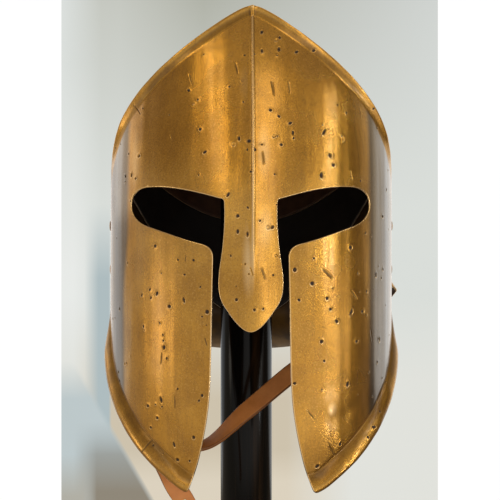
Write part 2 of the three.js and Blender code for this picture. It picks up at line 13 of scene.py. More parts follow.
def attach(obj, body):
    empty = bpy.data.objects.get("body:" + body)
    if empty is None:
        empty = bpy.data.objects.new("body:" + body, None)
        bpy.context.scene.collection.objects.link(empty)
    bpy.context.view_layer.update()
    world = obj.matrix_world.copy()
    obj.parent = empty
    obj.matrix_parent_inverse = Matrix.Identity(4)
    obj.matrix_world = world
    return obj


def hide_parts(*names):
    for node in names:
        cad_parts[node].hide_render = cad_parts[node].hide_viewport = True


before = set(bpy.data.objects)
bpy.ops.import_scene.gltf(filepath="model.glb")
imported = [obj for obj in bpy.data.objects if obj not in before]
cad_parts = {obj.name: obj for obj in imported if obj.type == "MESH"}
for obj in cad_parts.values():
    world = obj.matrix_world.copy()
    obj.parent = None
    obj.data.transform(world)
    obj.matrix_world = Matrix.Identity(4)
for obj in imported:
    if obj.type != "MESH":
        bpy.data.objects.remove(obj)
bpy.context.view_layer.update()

# Every size below is in millimetres in the part's own frame, where d is the depth behind the nose ridge
# and h the height above the middle of the nose guard. MM turns them into Blender's metres.
MM = 0.001
NOSE_Y = -146
MID_Z = 290

# Sheets and gaps
BRASS = 1.5
LEATHER = 2.0
STRAP = 2.5
GAP = 0.3

# Face plate
HALF_WIDTH = 116
RIDGE_SHIFT = 29
SECTION_A = HALF_WIDTH + RIDGE_SHIFT
SECTION_B = 127.6
WIDEST_D = SECTION_B * math.sqrt(1 - (RIDGE_SHIFT / SECTION_A) ** 2)
LEAN_TOP = {"start": 20, "end": 183, "back": 40}
LEAN_CHIN = {"start": -40, "end": -170, "back": 8}
PLATE_REAR_U = 200
ARCH = {"apex": 179.3, "slope": 0.64, "round": 8, "drop": 7, "drop_at": 131, "power": 5}
FLANGE = {"width": 7, "height": 3.3, "power": 1.3, "fade_start": 118, "fade_end": 175}
FLANGE_ROLL = {"at": 1.1, "half": 0.9, "height": 0.7}
LIP = {
    "width": 12.5, "height": 6, "power": 1.7, "turned_in": 0.2, "turned_from": 3.5,
    "fade_start": 163, "fade_end": 188,
}
BEAD = {"half": 1.8, "height": 1.0, "full_above": 60, "gone_below": -45}
RIDGE_SOFT = {"above": 1.0, "below": 11.0, "from_h": 5, "to_h": -45}
# Height of the cheeks' edge by length round the section, as (u, h)
CHEEK_EDGE = [
    (0, -176), (46, -175.5), (70, -164), (100, -145), (130, -121.5), (155, -99), (178, -70),
    (192, -42), (200, -20),
]

# Openings, as half widths and heights about a line a little left of the ridge.
# Each curve is (first handle, second handle, end) and starts where the one before it ends.
OPENING_X = -1.5
EYE_START = (22, 36.5)
EYE_CURVES = [
    ((42, 42.5), (58, 46.5), (75.5, 46.5)),
    ((86.5, 46.5), (90.5, 41), (90.5, 34.5)),
    ((90.5, 26), (84.5, 20.5), (76.5, 17.5)),
    ((60, 12), (48, 7.5), (35.8, 4.5)),
    ((29.8, 3), (26.9, 0), (27, -6)),
]
NOSE_START = (19, 33.5)
NOSE_CURVES = [
    ((18.5, 22), (19, 8), (22, -10)),
    ((24.1, -24), (23.9, -34), (17.5, -42)),
    ((12.5, -49.5), (6, -58), (0, -58)),
]
# The root of the nose guard, from the eye's start to the nose guard's
ROOT_CURVE = ((20, 36.5), (19, 35.5), NOSE_START)
# Half width of the gap between the cheeks by height
SLOT = [(-6, 27), (-35, 27.7), (-71, 28.4), (-100, 29.4), (-121, 31.6), (-144, 36), (-162, 41), (-190, 53)]

# How far from the plate's corners their rounding starts
PLATE_CORNERS = {"tip": 3.5, "rear": 3}

# Skull
TUCK = BRASS + 3 * GAP
SKULL = {"half": 115, "back": 149, "spring_h": 45, "top_h": 176.5, "back_power": 2.5, "plan_power": 2.1}
NAPE = {"start": 20, "end": -70, "half": 106, "back": 132}
SLICE_FRONT = {"from_h": 80, "below_top": 0.5, "widest": 0.97, "narrowest": 0.3}
LAP = {"front_d": 101, "above": 40, "blend_h": 15, "ahead": 12, "ridge_clear": 0.5}
BLEND = 1.5
NECK = {"notch_d": 140, "notch_h": -24, "back_h": -99, "curve": 0.9, "height": 46}
FLARE = {
    "back": 34, "side": 17, "extra_right": 4.5,
    "full_at_left": 0.16, "full_at_right": 0.08, "back_start": 0.15,
}

# Linings
LINER = {"depth": BRASS + 1.5, "back_h": -64, "rise": 125, "behind_arch": 15}
CROWN = {"depth": BRASS + 1.5 + LEATHER + 1.7, "back_h": 27.5, "rise": 55, "behind_arch": 26}

# Rivets, as (u, h, grip), and straps as rows of (x, d, h) and the direction of the strap's width
RIVETS = [(181, 20, 5.6), (191, 3, 5.6), (183, -16, 11)]
RIVET = {"shank": 2, "head": 4.2, "edge": 0.35, "dome": 1.1, "tail": 3.4, "tail_thick": 1.4}
RIVET_TONE = {"foot": 0.5, "foot_height": 0.4, "head": 0.05}
STRAP_WIDTH = 15
STRAP_CROWN = 0.25
PUNCH_RADIUS = 1.6
STRAP_LEFT = [
    ((-106.8, 122, -7), (0, 1, 0)),
    ((-106.8, 122, -16), (0, 1, 0)),
    ((-106.4, 119, -40), (0, 1, 0)),
    ((-104, 110, -75), (0.1, 0.95, 0.1)),
    ((-96, 92, -108), (0.25, 0.9, 0.25)),
    ((-86, 76, -135), (0.4, 0.8, 0.4)),
    ((-74, 64, -154), (0.47, 0.77, 0.44)),
    ((-65, 58, -168), (0.62, 0.6, 0.5)),
    ((-58.5, 55, -179), (0.75, 0.3, 0.55)),
    ((-51, 54, -190.5), (0.8, 0.15, 0.5)),
    ((-45, 54, -204), (0.9, 0.1, 0.35)),
    ((-42, 55, -219), (0.95, 0.05, 0.2)),
]
STRAP_RIGHT = [
    ((106.8, 122, -7), (0, 1, 0)),
    ((106.8, 122, -16), (0, 1, 0)),
    ((105.8, 118, -34), (0, 1, 0)),
    ((99, 110, -50), (-0.1, 0.95, 0.1)),
    ((82, 97, -64), (-0.25, 0.85, 0.35)),
    ((58, 84, -78), (-0.4, 0.65, 0.6)),
    ((30, 74, -97), (-0.5, 0.45, 0.7)),
    ((-5, 68, -125), (-0.45, 0.6, 0.6)),
    ((-38, 63, -150), (-0.1, 0.95, 0.2)),
]
RING_ROW = 6
RING = {"bar": 2.6, "open_long": 17, "open_short": 6.7, "corner": 2.2}
FOLD = {"radius": 3.4, "length": 13, "closed": 1.5, "bends": (0, 45, 90, 135, 180)}

# Points round each hole in a sheet
HOLE_SIDES = 16

# Stand
POST = {"x": -4, "y": 0, "radius": 22, "round": 0.6}
BASE = {"radius": 150, "thick": 20, "edge": 3, "round": 1.5}
CAP = {"radius": 34, "under_radius": 29, "top_h": 166, "drop": 11, "thick": 24, "round": 0.8}

# Mesh steps along the edges, and mesh sizes of the outside and the inside of each sheet
PLATE_MESH = {"step": 1.3, "sizes": (1.5, 3.2)}
SKULL_MESH = {"step": 1.9, "sizes": (2.0, 4.5)}
LINER_MESH = {"step": 3.4, "sizes": (5.0, 3.6)}
STRAP_MESH = {"step": 1.6, "sizes": (2.0, 2.4)}
# Rows of mesh points inside a sheet's rounded edge as (distance past the rounding, clearance)
EDGE_ROWS = ((0.45, 0.3), (1.3, 0.7))
# Roundings of the sheets' edges, and the darkness marked on their outside, cut edge and inside; below nought
# is paler
SHEET_ROUNDING = 0.35
STRAP_ROUNDING = 0.55
BRASS_TONES = (0, -0.5, 0.8)
LEATHER_TONES = (0, 1, 0)

# Larger pits of the face plate as (u, h, tall, wide, turn in degrees)
PITS = [
    (53, 54, 5.1, 3.3, 0), (82, -46, 5.9, 2.7, 25), (61, 69, 3.8, 3.7, 0), (56, 86, 5.8, 2.4, 35),
    (-74, -110, 5.1, 2.6, -20), (78, -99, 4.4, 2.7, 20), (81, 2, 3.2, 3.6, 0), (20, 147, 4.4, 2.6, 0),
    (45, -24, 3.2, 3.5, 0), (-71, -71, 3.7, 3.0, 0), (114, -19, 3.8, 2.8, 0), (31, -14, 3.4, 3.1, 0),
    (95, -46, 3.1, 3.4, 0), (67, -52, 3.6, 2.9, -60), (-34, -44, 3.2, 3.2, 0), (11, 16, 3.5, 2.9, 0),
    (74, 82, 4.4, 2.2, 0), (105, -134, 2.3, 4.2, 0), (-78, -32, 3.7, 2.6, 35), (71, -143, 3.7, 2.6, 30),
    (50, -157, 4.0, 2.4, 70), (64, 62, 2.9, 3.3, 0), (-59, -153, 2.9, 3.3, 0), (-53, -36, 4.3, 2.2, -15),
    (121, -69, 3.9, 2.4, 0), (58, -35, 2.9, 3.2, 0), (53, -66, 2.9, 3.2, 0), (-18, 39, 4.2, 2.2, 30),
    (-62, -142, 4.4, 2.1, -20), (-99, 71, 2.6, 3.5, 0), (-66, -41, 2.8, 3.2, 0), (-4, 11, 4.2, 2.1, 0),
    (14, 16, 3.5, 2.5, 50), (16, 81, 3.9, 2.2, 55), (34, 146, 3.7, 2.3, 50), (-109, 57, 3.8, 2.2, 0),
    (30, 84, 4.3, 1.9, 0), (-14, 75, 2.8, 2.9, 0), (-3, 77, 2.8, 2.9, 0), (-11, 24, 2.8, 2.9, 0),
    (-45, -135, 2.9, 2.8, 0), (-80, 3, 2.6, 3.1, 0), (7, 145, 3.6, 2.2, 0), (88, -68, 2.6, 3.0, 0),
    (-10, 79, 3.5, 2.2, 0), (-11, 13, 3.5, 2.2, 0), (28, 91, 3.4, 2.2, 60), (127, 26, 2.3, 3.2, 0),
    (-50, 117, 2.2, 3.2, 30), (-88, -116, 2.5, 2.8, 0), (-78, -124, 2.4, 2.9, 0), (13, 100, 2.6, 2.6, 0),
    (61, -43, 2.4, 2.7, 0), (31, -95, 2.1, 3.0, 0), (-36, 70, 3.3, 1.9, 60), (-12, -35, 2.5, 2.5, 0),
    (48, 148, 2.2, 2.8, 0), (-103, 54, 2.1, 2.9, 0), (-40, 87, 2.3, 2.5, 0), (-38, -104, 2.5, 2.3, 0),
    (21, 75, 2.3, 2.4, 0), (17, -4, 2.3, 2.4, 0), (-85, -132, 2.1, 2.6, 0), (1, -42, 2.3, 2.3, 0),
    (7, 160, 3.4, 2.4, 20), (18, 154, 3.0, 2.0, 40),
]
# Slashes as (u, h) of each end and the cut's width
SLASHES = [
    ((-50, 130), (-47, 121), 1.0), ((-13, 136), (-11, 127), 1.5), ((-106, 111), (-98, 103), 1.2),
    ((14, 122), (16, 111), 1.6), ((27, 122), (28, 113), 1.3), ((95, 110), (96, 100), 0.7),
    ((-66, 85), (-64, 80), 0.8), ((7, 70), (8, 60), 1.5), ((81, 59), (83, 51), 0.9),
    ((-51, -3), (-52, -9), 1.1), ((-36, -62), (-34, -68), 1.4), ((-73, -75), (-74, -84), 1.2),
    ((6, -12), (9, -21), 1.5), ((-2, -12), (0, -18), 1.3), ((54, -14), (63, -20), 2.2),
    ((82, -30), (89, -37), 1.5), ((106, -61), (108, -69), 1.2), ((-61, -106), (-61, -116), 1.3),
    ((-83, -140), (-90, -152), 1.3), ((41, -115), (48, -123), 1.4), ((60, -142), (67, -152), 1.8),
]
# Shallow dents as (u, h, reach, depth); a negative depth stands out
DENTS = [
    (86, -116, 5.0, 0.35), (98, -128, 6.0, -0.25), (101, -112, 5.0, 0.25), (74, -104, 7.0, -0.15),
    (-96, -126, 8.0, -0.3), (-62, -128, 10.0, 0.3), (62, -117, 5.5, -0.4), (90, -98, 5.0, 0.3),
    (78, -120, 4.5, 0.25), (20, 76, 6.0, 0.12), (16, 96, 7.0, -0.1),
]
# Strewn pits, with the range of each value and the greatest length as a share of the width
PLATE_PITS = {"seed": 5, "count": 150, "u": (-150, 150), "h": (-165, 160), "wide": (1.0, 2.1), "longest": 1.6}
SKULL_PITS = {"seed": 47, "count": 210, "u": (-190, 190), "h": (6, 215), "wide": (1.2, 3.4), "longest": 1.7}
# Rings of mesh points over a pit as (share of its radius, points)
PIT_RINGS = [(0.0, 1), (0.4, 6), (0.7, 9), (0.92, 12), (1.15, 13), (1.5, 13)]
# Depth of a pit and a slash by their size, the height of the rims thrown up round them as a share of that
# depth, where the rims stand and how wide they are as shares of the half width, how much brighter a pit's
# lower rim is painted as a highlight, and how dark a slash is
PIT_FORM = {"deep": 0.19, "rim": 0.22, "rim_at": 1.15, "rim_half": 0.2, "rim_highlight": 0.45}
SLASH_FORM = {"deep": 0.36, "rim": 0.24, "rim_at": 1.35, "rim_half": 0.4, "dark": 0.85}

# Hand-worked unevenness: long waves, strewn shallow dents, and the upright waves of planishing, whose
# height is a share of their length
WAVES = {"count": 10, "height": 0.035, "length": (45, 120)}
STREWN_DENTS = {"reach": (6, 17), "depth": (-0.03, 0.07)}
FLUTES = {"count": 12, "height": 0.0011, "length": (7, 30), "sway": (0.5, 2.5), "sway_length": (18, 40)}

# Painted reflection on the sides, a darker, duller brass that reads grey under the coat: the lengths round
# the section over which it sets in and clears again, the distances from the edges over which it starts, and
# how much later it sets in low on the left
SIDE_PAINTED_REFLECTION = {
    "left": (110, 118), "right": (100, 108), "rear": (135, 165), "off_lip": (11, 14), "off_arch": (5, 8),
    "later": 7, "later_below": (-40, 20),
}
# Painted shade in strips, on the lip's roll and on the arch flange, by distance in from an edge, each rising
# and falling between two distances
LIP_PAINTED_SHADE = [
    {"tone": 0.5, "rise": (5, 9.5), "fall": (12.5, 14)},
    {"tone": 0.3, "rise": (0.6, 1.2), "fall": (2.0, 3.2)},
]
# Painted shade on the arch flange's band and in its crease, faded out towards the sides
ARCH_PAINTED_SHADE = {"tone": 0.5, "rise": (1.8, 2.6), "fall": (5.8, 6.6), "crease": 0.15, "crease_half": 0.7}
ARCH_SHADE_FADE = (80, 120)
# The lip's groove: half width, depth, a tone of painted shade, and where it fades out
GROOVE = {"half": 1.2, "deep": 0.3, "tone": 0.5, "fade": (165, 192)}
# Painted highlight along the ridge bead and painted shade at its feet, darker on the left
BEAD_PAINTED_LIGHT = {"highlight": 0.4, "highlight_half": 0.8, "foot_shade_half": 0.7, "foot_shade_left": 0.3, "foot_shade_right": 0.15}
# Rows of mesh points along the ridge, the arch and the cheeks' edge, by distance
BEAD_ROWS = (0, -0.75, 0.75, -1.5, 1.5, -2.2, 2.2)
ARCH_ROWS = (3.2, 4.4, 5.6, 6.4, 7.0, 7.8)
LIP_ROWS = (9.6, 10.6, 11.3, 11.9, 12.5, 13.1, 13.8, 14.8)
# Painted highlights: paler patches on the face plate as (u, h, reach across, reach up, share)
PAINTED_HIGHLIGHTS = [
    (8, 70, 5, 20, 0.20), (9, 16, 6, 15, 0.18), (-3, -8, 4, 22, 0.35),
    (62, -5, 4, 18, 0.12), (61, 68, 4, 16, 0.12), (-104, 68, 6, 22, 0.22),
    (63, -116, 4, 5, 0.30), (-6, 120, 5, 16, 0.12),
]


def smoothstep(low, high, value):
    share = np.clip((np.asarray(value, float) - low) / (high - low), 0, 1)
    return share * share * (3 - 2 * share)


def mix(a, b, share):
    return a + (b - a) * share


def slope_of(curve, at):
    return curve(at + 0.5) - curve(at - 0.5)


def table_curve(rows):
    """A smooth curve through (along, value) rows."""
    along, value = np.array(sorted(rows), float).T
    before = np.maximum(np.arange(len(along)) - 1, 0)
    after = np.minimum(np.arange(len(along)) + 1, len(along) - 1)
    slope = (value[after] - value[before]) / (along[after] - along[before])

    def curve(at):
        t = np.clip(np.asarray(at, float), along[0], along[-1])
        i = np.clip(np.searchsorted(along, t, "right") - 1, 0, len(along) - 2)
        span = along[i + 1] - along[i]
        s = (t - along[i]) / span
        ends = (1 + 2 * s) * (1 - s) ** 2 * value[i] + s * s * (3 - 2 * s) * value[i + 1]
        return ends + span * (s * (1 - s) ** 2 * slope[i] + s * s * (s - 1) * slope[i + 1])

    return curve


cheek_edge_h = table_curve(CHEEK_EDGE)
slot_half = table_curve(SLOT)


def gauss(value, half):
    return np.exp(-((value / half) ** 2))


def painted_strip_shade(row, value):
    """A strip's painted shade where the value lies between its rise and its fall."""
    return row["tone"] * smoothstep(*row["rise"], value) * (1 - smoothstep(*row["fall"], value))


def to_frame(x, d, h):
    x, d, h = np.broadcast_arrays(np.asarray(x, float), d, h)
    return np.stack([x, NOSE_Y + d, MID_Z + h], -1)


def unit(vectors):
    return vectors / np.maximum(np.linalg.norm(vectors, axis=-1, keepdims=True), 1e-9)


def lean(h):
    """How far back the plate leans at a height."""
    top = np.maximum(0, (h - LEAN_TOP["start"]) / (LEAN_TOP["end"] - LEAN_TOP["start"]))
    chin = np.maximum(0, (h - LEAN_CHIN["start"]) / (LEAN_CHIN["end"] - LEAN_CHIN["start"]))
    return LEAN_TOP["back"] * top**2 + LEAN_CHIN["back"] * chin**2


# The plan section measured by length, from the ridge to the widest line
section_x = HALF_WIDTH * np.sin(np.linspace(0, math.pi / 2, 1201))
section_d = WIDEST_D - SECTION_B * np.sqrt(np.maximum(0, 1 - ((section_x + RIDGE_SHIFT) / SECTION_A) ** 2))
section_u = np.concatenate([[0], np.cumsum(np.hypot(np.diff(section_x), np.diff(section_d)))])
WIDEST_U = section_u[-1]


def section_at(u):
    """x and depth of the plan section at a length from the ridge."""
    length = np.abs(u)
    x = np.sign(u) * np.interp(length, section_u, section_x)
    return x, np.interp(length, section_u, section_d) + np.maximum(0, length - WIDEST_U)


def arch_h(u):
    """Height of the pointed arch's edge."""
    peak = ARCH["slope"] * (np.hypot(u, ARCH["round"]) - ARCH["round"])
    return ARCH["apex"] - peak - ARCH["drop"] * (np.abs(u) / ARCH["drop_at"]) ** ARCH["power"]


def edge_distances(across, h):
    """Distances in from the arch edge and from the cheeks' edge."""
    to_arch = (arch_h(across) - h) / np.hypot(1, slope_of(arch_h, across))
    return to_arch, (h - cheek_edge_h(across)) / np.hypot(1, slope_of(cheek_edge_h, across))


def plate_relief(u, h):
    """How far the plate stands out from its rolled form: arch flange, cheek lip and ridge bead."""
    across = np.abs(u)
    to_arch, to_lip = edge_distances(across, h)
    to_arch = np.maximum(0, to_arch)
    flange = FLANGE["height"] * np.maximum(0, 1 - to_arch / FLANGE["width"]) ** FLANGE["power"]
    flange += FLANGE_ROLL["height"] * gauss(to_arch - FLANGE_ROLL["at"], FLANGE_ROLL["half"])
    flange *= 1 - smoothstep(FLANGE["fade_start"], FLANGE["fade_end"], across)
    lip = 1 - np.clip(to_lip / LIP["width"], 0, 1) ** LIP["power"]
    lip -= LIP["turned_in"] * np.maximum(0, 1 - to_lip / LIP["turned_from"]) ** 2
    lip = lip * LIP["height"] * (1 - smoothstep(LIP["fade_start"], LIP["fade_end"], across))
    bead = np.clip(1 - (across / BEAD["half"]) ** 2, 0, 1) ** 2
    return flange + lip + bead * BEAD["height"] * smoothstep(BEAD["gone_below"], BEAD["full_above"], h)


RIDGE_SLOPE = SECTION_B / SECTION_A * RIDGE_SHIFT / math.sqrt(SECTION_A**2 - RIDGE_SHIFT**2)


def plate_place(u, h):
    """Points on the outside of the face plate, and the directions out of it."""
    x, d = section_at(u)
    upper = smoothstep(RIDGE_SOFT["to_h"], RIDGE_SOFT["from_h"], h)
    soft = mix(RIDGE_SOFT["below"], RIDGE_SOFT["above"], upper)
    d = d + RIDGE_SLOPE * (np.hypot(x, soft) - np.abs(x))
    along_x = slope_of(lambda at: section_at(at)[0], u)
    along_d = slope_of(lambda at: section_at(at)[1], u)
    normal = unit(np.stack([along_d, -along_x, along_x * slope_of(lean, h)], -1))
    return to_frame(x, lean(h) + d, h) + normal * plate_relief(u, h)[..., None], normal


# Depth and half width of the arch edge by height
arch_u = np.linspace(0, PLATE_REAR_U, 2001)
arch_heights = arch_h(arch_u)


def arch_at(h):
    x, d = section_at(np.interp(-np.asarray(h, float), -arch_heights, arch_u))
    return x, d + lean(h)


def section_half(depth, inset):
    q = np.clip((WIDEST_D - depth) / (SECTION_B - inset), 0, 1)
    return np.maximum(0, (SECTION_A - inset) * np.sqrt(1 - q * q) - RIDGE_SHIFT)


def slice_size(h):
    """Half width of the skull at a height, and its reach behind the widest line."""
    rise = np.clip((h - SKULL["spring_h"]) / (SKULL["top_h"] - SKULL["spring_h"]), 0, 1)
    nape = smoothstep(0, 1, (NAPE["start"] - h) / (NAPE["start"] - NAPE["end"]))
    half = mix(SKULL["half"], NAPE["half"], nape) * np.sqrt(1 - rise**2)
    power = SKULL["back_power"]
    return half, mix(SKULL["back"], NAPE["back"], nape) * np.maximum(0, 1 - rise**power) ** (1 / power)


def slice_front(h):
    """Reach of the skull's rounding in front of the widest line."""
    height = np.clip(h, SLICE_FRONT["from_h"], SKULL["top_h"] - SLICE_FRONT["below_top"])
    x, d = arch_at(height)
    ratio = np.clip((x - TUCK) / slice_size(height)[0], SLICE_FRONT["narrowest"], SLICE_FRONT["widest"])
    return (WIDEST_D - d) / np.sqrt(1 - ratio**2)


def lap_front_d(h):
    """Depth at which the skull's front edge lies under the face plate."""
    along_arch = np.maximum(arch_at(h)[1] - LAP["ahead"], lean(h) + TUCK + LAP["ridge_clear"])
    return mix(LAP["front_d"], along_arch, smoothstep(LAP["above"], LAP["above"] + LAP["blend_h"], h))


def turn_of(d, back):
    """Turn round a slice: 0 at the back, a right angle at the widest line, more in front of it."""
    behind = np.arccos(np.clip((d - WIDEST_D) / np.maximum(back, 1e-6), -1, 1))
    return np.where(d >= WIDEST_D, behind, math.pi / 2 + (WIDEST_D - d) / SKULL["back"])


def slice_point(turn, h):
    """x and depth of the skull at a turn and a height, kept under the plate in front."""
    half, back = slice_size(h)
    around = np.abs(turn)
    behind = around <= math.pi / 2
    past = (around - math.pi / 2) * SKULL["back"]
    d = np.where(behind, WIDEST_D + back * np.cos(around), WIDEST_D - past)
    power = SKULL["plan_power"]
    round_back = (1 - np.clip(np.cos(around), 0, 1) ** power) ** (1 / power)
    round_front = np.sqrt(np.clip(1 - ((WIDEST_D - d) / slice_front(h)) ** 2, 0, 1))
    dome = half * np.where(behind, round_back, round_front)
    plate = section_half(d - lean(h), TUCK)
    x = 0.5 * (dome + plate - np.hypot(dome - plate, np.minimum(BLEND, 0.3 * half)))
    return np.sign(turn) * np.maximum(0, x), d


def neck_share(turn):
    """0 at the notch before the neck guard, 1 at the middle of the back."""
    return np.clip(1 - np.abs(turn) / turn_of(NECK["notch_d"], SKULL["back"]), 0, 1)


def neck_edge_h(turn):
    return mix(NECK["notch_h"], NECK["back_h"], np.sin(neck_share(turn) * math.pi / 2) ** NECK["curve"])


def neck_flare(turn, h):
    """How far the neck guard sweeps out."""
    share = neck_share(turn)
    side = FLARE["side"] + FLARE["extra_right"] * (turn > 0)
    full = mix(side, FLARE["back"], smoothstep(FLARE["back_start"], 1, share))
    above = np.clip((h - neck_edge_h(turn)) / NECK["height"], 0, 1)
    full_at = np.where(turn > 0, FLARE["full_at_right"], FLARE["full_at_left"])
    return full * smoothstep(0, 1, share / full_at) * (1 - above) ** 2


def skull_base(turn, h):
    x, d = slice_point(turn, h)
    flare = neck_flare(turn, h)
    outward = unit(np.stack([x / SKULL["half"], (d - WIDEST_D) / SKULL["back"]], -1))
    return to_frame(x + outward[..., 0] * flare, d + np.maximum(0, outward[..., 1]) * flare, h)


def share_height(low_h, share):
    """Height by share of the way up, measured up the side and then round the dome to the crown."""
    radius = SKULL["top_h"] - SKULL["spring_h"]
    rise = low_h - SKULL["spring_h"]
    start = np.where(rise < 0, rise, radius * np.arcsin(np.clip(rise / radius, 0, 1)))
    along = mix(start, radius * math.pi / 2, share)
    dome = radius * np.sin(np.clip(along / radius, 0, math.pi / 2))
    return SKULL["spring_h"] + np.where(along < 0, along, dome)


def skull_place(front_d, edge_h, depth):
    """A layer of the skull at a depth under its outside, by its way across, -1 to 1, and up, 0 to 1."""

    def surface(across, share):
        guess_h = share_height(edge_h(across * math.pi / 2), share)
        turn = across * turn_of(front_d(guess_h), slice_size(guess_h)[1])
        return skull_base(turn, share_height(edge_h(turn), share))

    def place(a, b):
        across, share = a / CHART_ACROSS, b / CHART_UP
        step = 0.004
        points = surface(across, share)
        right, left = np.minimum(1, across + step), np.maximum(-1, across - step)
        sideways = surface(right, share) - surface(left, share)
        upwards = surface(across, np.minimum(1, share + step)) - surface(across, np.maximum(0, share - step))
        normal = -unit(np.cross(sideways, upwards))
        crest = share > 1 - 1e-6
        normal[crest] = (0, 0, 1)
        points[crest, 0] = 0
        return points - normal * depth, normal

    return place


# Half length and height of the skull's chart, which keep its middle about true to size
CHART_ACROSS = 235
CHART_UP = 255


def bezier(start, curve, count):
    t = np.linspace(0, 1, count + 1)[1:, None]
    a, b, c, d = (np.array(point, float) for point in (start, *curve))
    return (1 - t) ** 3 * a + 3 * t * (1 - t) ** 2 * b + 3 * t * t * (1 - t) * c + t**3 * d


def quadratic(first, corner, last, t):
    return (1 - t) ** 2 * first + 2 * t * (1 - t) * corner + t * t * last


def half_outline(start, curves, step):
    """Points along a run of curves, about a step apart."""
    points = [np.array([start], float)]
    for curve in curves:
        reach = np.linalg.norm(np.subtract(curve[2], start)) * 1.05
        points.append(bezier(start, curve, max(3, round(reach / step))))
        start = curve[2]
    return np.concatenate(points)


def resample(points, step):
    """An open line as even steps, ends kept."""
    length = np.concatenate([[0], np.cumsum(np.linalg.norm(np.diff(points, axis=0), axis=1))])
    even = np.linspace(0, length[-1], max(2, round(length[-1] / step)) + 1)
    return np.stack([np.interp(even, length, points[:, k]) for k in range(points.shape[1])], 1)


def chart_u(x, h):
    """Length round the section at which the plate's outside stands at x."""
    u = np.interp(np.abs(x), section_x, section_u)
    for _ in range(6):
        across = np.abs(plate_place(u, h)[0][..., 0])
        u = np.clip(u + (np.abs(x) - across), 0, WIDEST_U)
    return np.sign(x) * u


def rounded_corner(points, corner, reach):
    """A loop with the stretch within reach of a corner swapped for a curve across it."""
    away = np.linalg.norm(points - corner, axis=1)
    middle = int(np.argmin(away))
    points = np.roll(points, len(points) // 2 - middle, axis=0)
    away = np.roll(away, len(away) // 2 - middle)
    within = np.nonzero(away < reach)[0]
    first, last = points[within[0] - 1], points[within[-1] + 1]
    t = np.linspace(0, 1, 9)[1:-1, None]
    curve = quadratic(first, corner, last, t)
    return np.concatenate([points[: within[0]], curve, points[within[-1] + 1 :]])


def plate_loop(step):
    """The face plate's whole outline as one loop in its chart, with the openings' edges a part of it."""
    eye = half_outline(EYE_START, EYE_CURVES, step)
    nose = half_outline(NOSE_START, NOSE_CURVES, step)
    root = bezier(EYE_START, ROOT_CURVE, 4)
    heights = np.arange(SLOT[0][0], SLOT[-1][0], -step)
    sides = []
    for side in (-1, 1):
        slot = np.stack([slot_half(heights), heights], 1)
        u = chart_u(OPENING_X + side * slot[:, 0], slot[:, 1])
        inside = slot[:, 1] > cheek_edge_h(np.abs(u))
        slot = slot[inside]
        outline = np.concatenate([slot[::-1], eye[::-1][1:], root, nose[1:]])
        sides.append(np.stack([chart_u(OPENING_X + side * outline[:, 0], outline[:, 1]), outline[:, 1]], 1))
    left, right = sides
    tips = [left[0], right[0]]
    low = np.linspace(abs(tips[0][0]), PLATE_REAR_U, 300)
    low_left = resample(np.stack([-low, cheek_edge_h(low)], 1), step)
    low = np.linspace(tips[1][0], PLATE_REAR_U, 300)
    low_right = resample(np.stack([low, cheek_edge_h(low)], 1), step)
    arch = np.linspace(-PLATE_REAR_U, PLATE_REAR_U, 1201)
    arch = resample(np.stack([arch, arch_h(arch)], 1), step)
    loop = np.concatenate([right, left[::-1][1:], low_left, arch, low_right[::-1][:-1]])
    for tip in (low_left[0], low_right[0]):
        loop = rounded_corner(loop, tip, PLATE_CORNERS["tip"])
    for side in (-1, 1):
        for h in (cheek_edge_h(PLATE_REAR_U), arch_h(PLATE_REAR_U)):
            loop = rounded_corner(loop, np.array([side * PLATE_REAR_U, float(h)]), PLATE_CORNERS["rear"])
    keep = np.linalg.norm(loop - np.roll(loop, 1, axis=0), axis=1) > 0.15 * step
    return loop[keep]


def loop_normals(loop):
    """Directions into the sheet at the points of a loop, for either sense of it."""
    along = np.roll(loop, -1, axis=0) - np.roll(loop, 1, axis=0)
    area = np.sum(loop[:, 0] * np.roll(loop[:, 1], -1) - loop[:, 1] * np.roll(loop[:, 0], -1))
    return unit(np.stack([-along[:, 1], along[:, 0]], 1)) * np.sign(area)


def inside_loops(points, loops):
    """Which points lie inside the outer loop and outside the holes."""
    odd = np.zeros(len(points), bool)
    for loop in loops:
        for (ax, ay), (bx, by) in zip(loop, np.roll(loop, -1, axis=0)):
            if ay != by:
                crossed = (points[:, 1] > ay) != (points[:, 1] > by)
                odd ^= crossed & (points[:, 0] < ax + (points[:, 1] - ay) * (bx - ax) / (by - ay))
    return odd


def hex_points(low, high, spacing):
    """An even grid of points with every second row shifted."""
    rows = np.arange(low[1], high[1], spacing * 0.866)
    columns = np.arange(low[0], high[0], spacing)
    a, b = np.meshgrid(columns, rows)
    a[::2] += spacing / 2
    return np.stack([a.ravel(), b.ravel()], 1)


def pit_points(pit):
    """Mesh points over a pit and its rim."""
    u, h, tall, wide, turn = pit
    spots = [(0.5 * reach, k * math.tau / count) for reach, count in PIT_RINGS for k in range(count)]
    local = [(wide * reach * math.cos(t), tall * reach * math.sin(t)) for reach, t in spots]
    c, s = math.cos(math.radians(turn)), math.sin(math.radians(turn))
    return np.array([(u + x * c + y * s, h - x * s + y * c) for x, y in local])


def slash_axes(slash):
    """A slash's start, the directions along and across it, its length and its width."""
    start, end = np.array(slash[0], float), np.array(slash[1], float)
    length = np.linalg.norm(end - start)
    along = (end - start) / length
    return start, along, np.array([along[1], -along[0]]), length, slash[2]


def slash_points(slash):
    """Mesh points in lines along a slash."""
    start, along, across, length, width = slash_axes(slash)
    t = np.linspace(-0.04, 1.04, max(6, round(length / 0.9)))
    middle = start + np.outer(t * length, along)
    return np.concatenate([middle + across * width * reach for reach in (-0.95, -0.5, 0, 0.5, 0.95)])


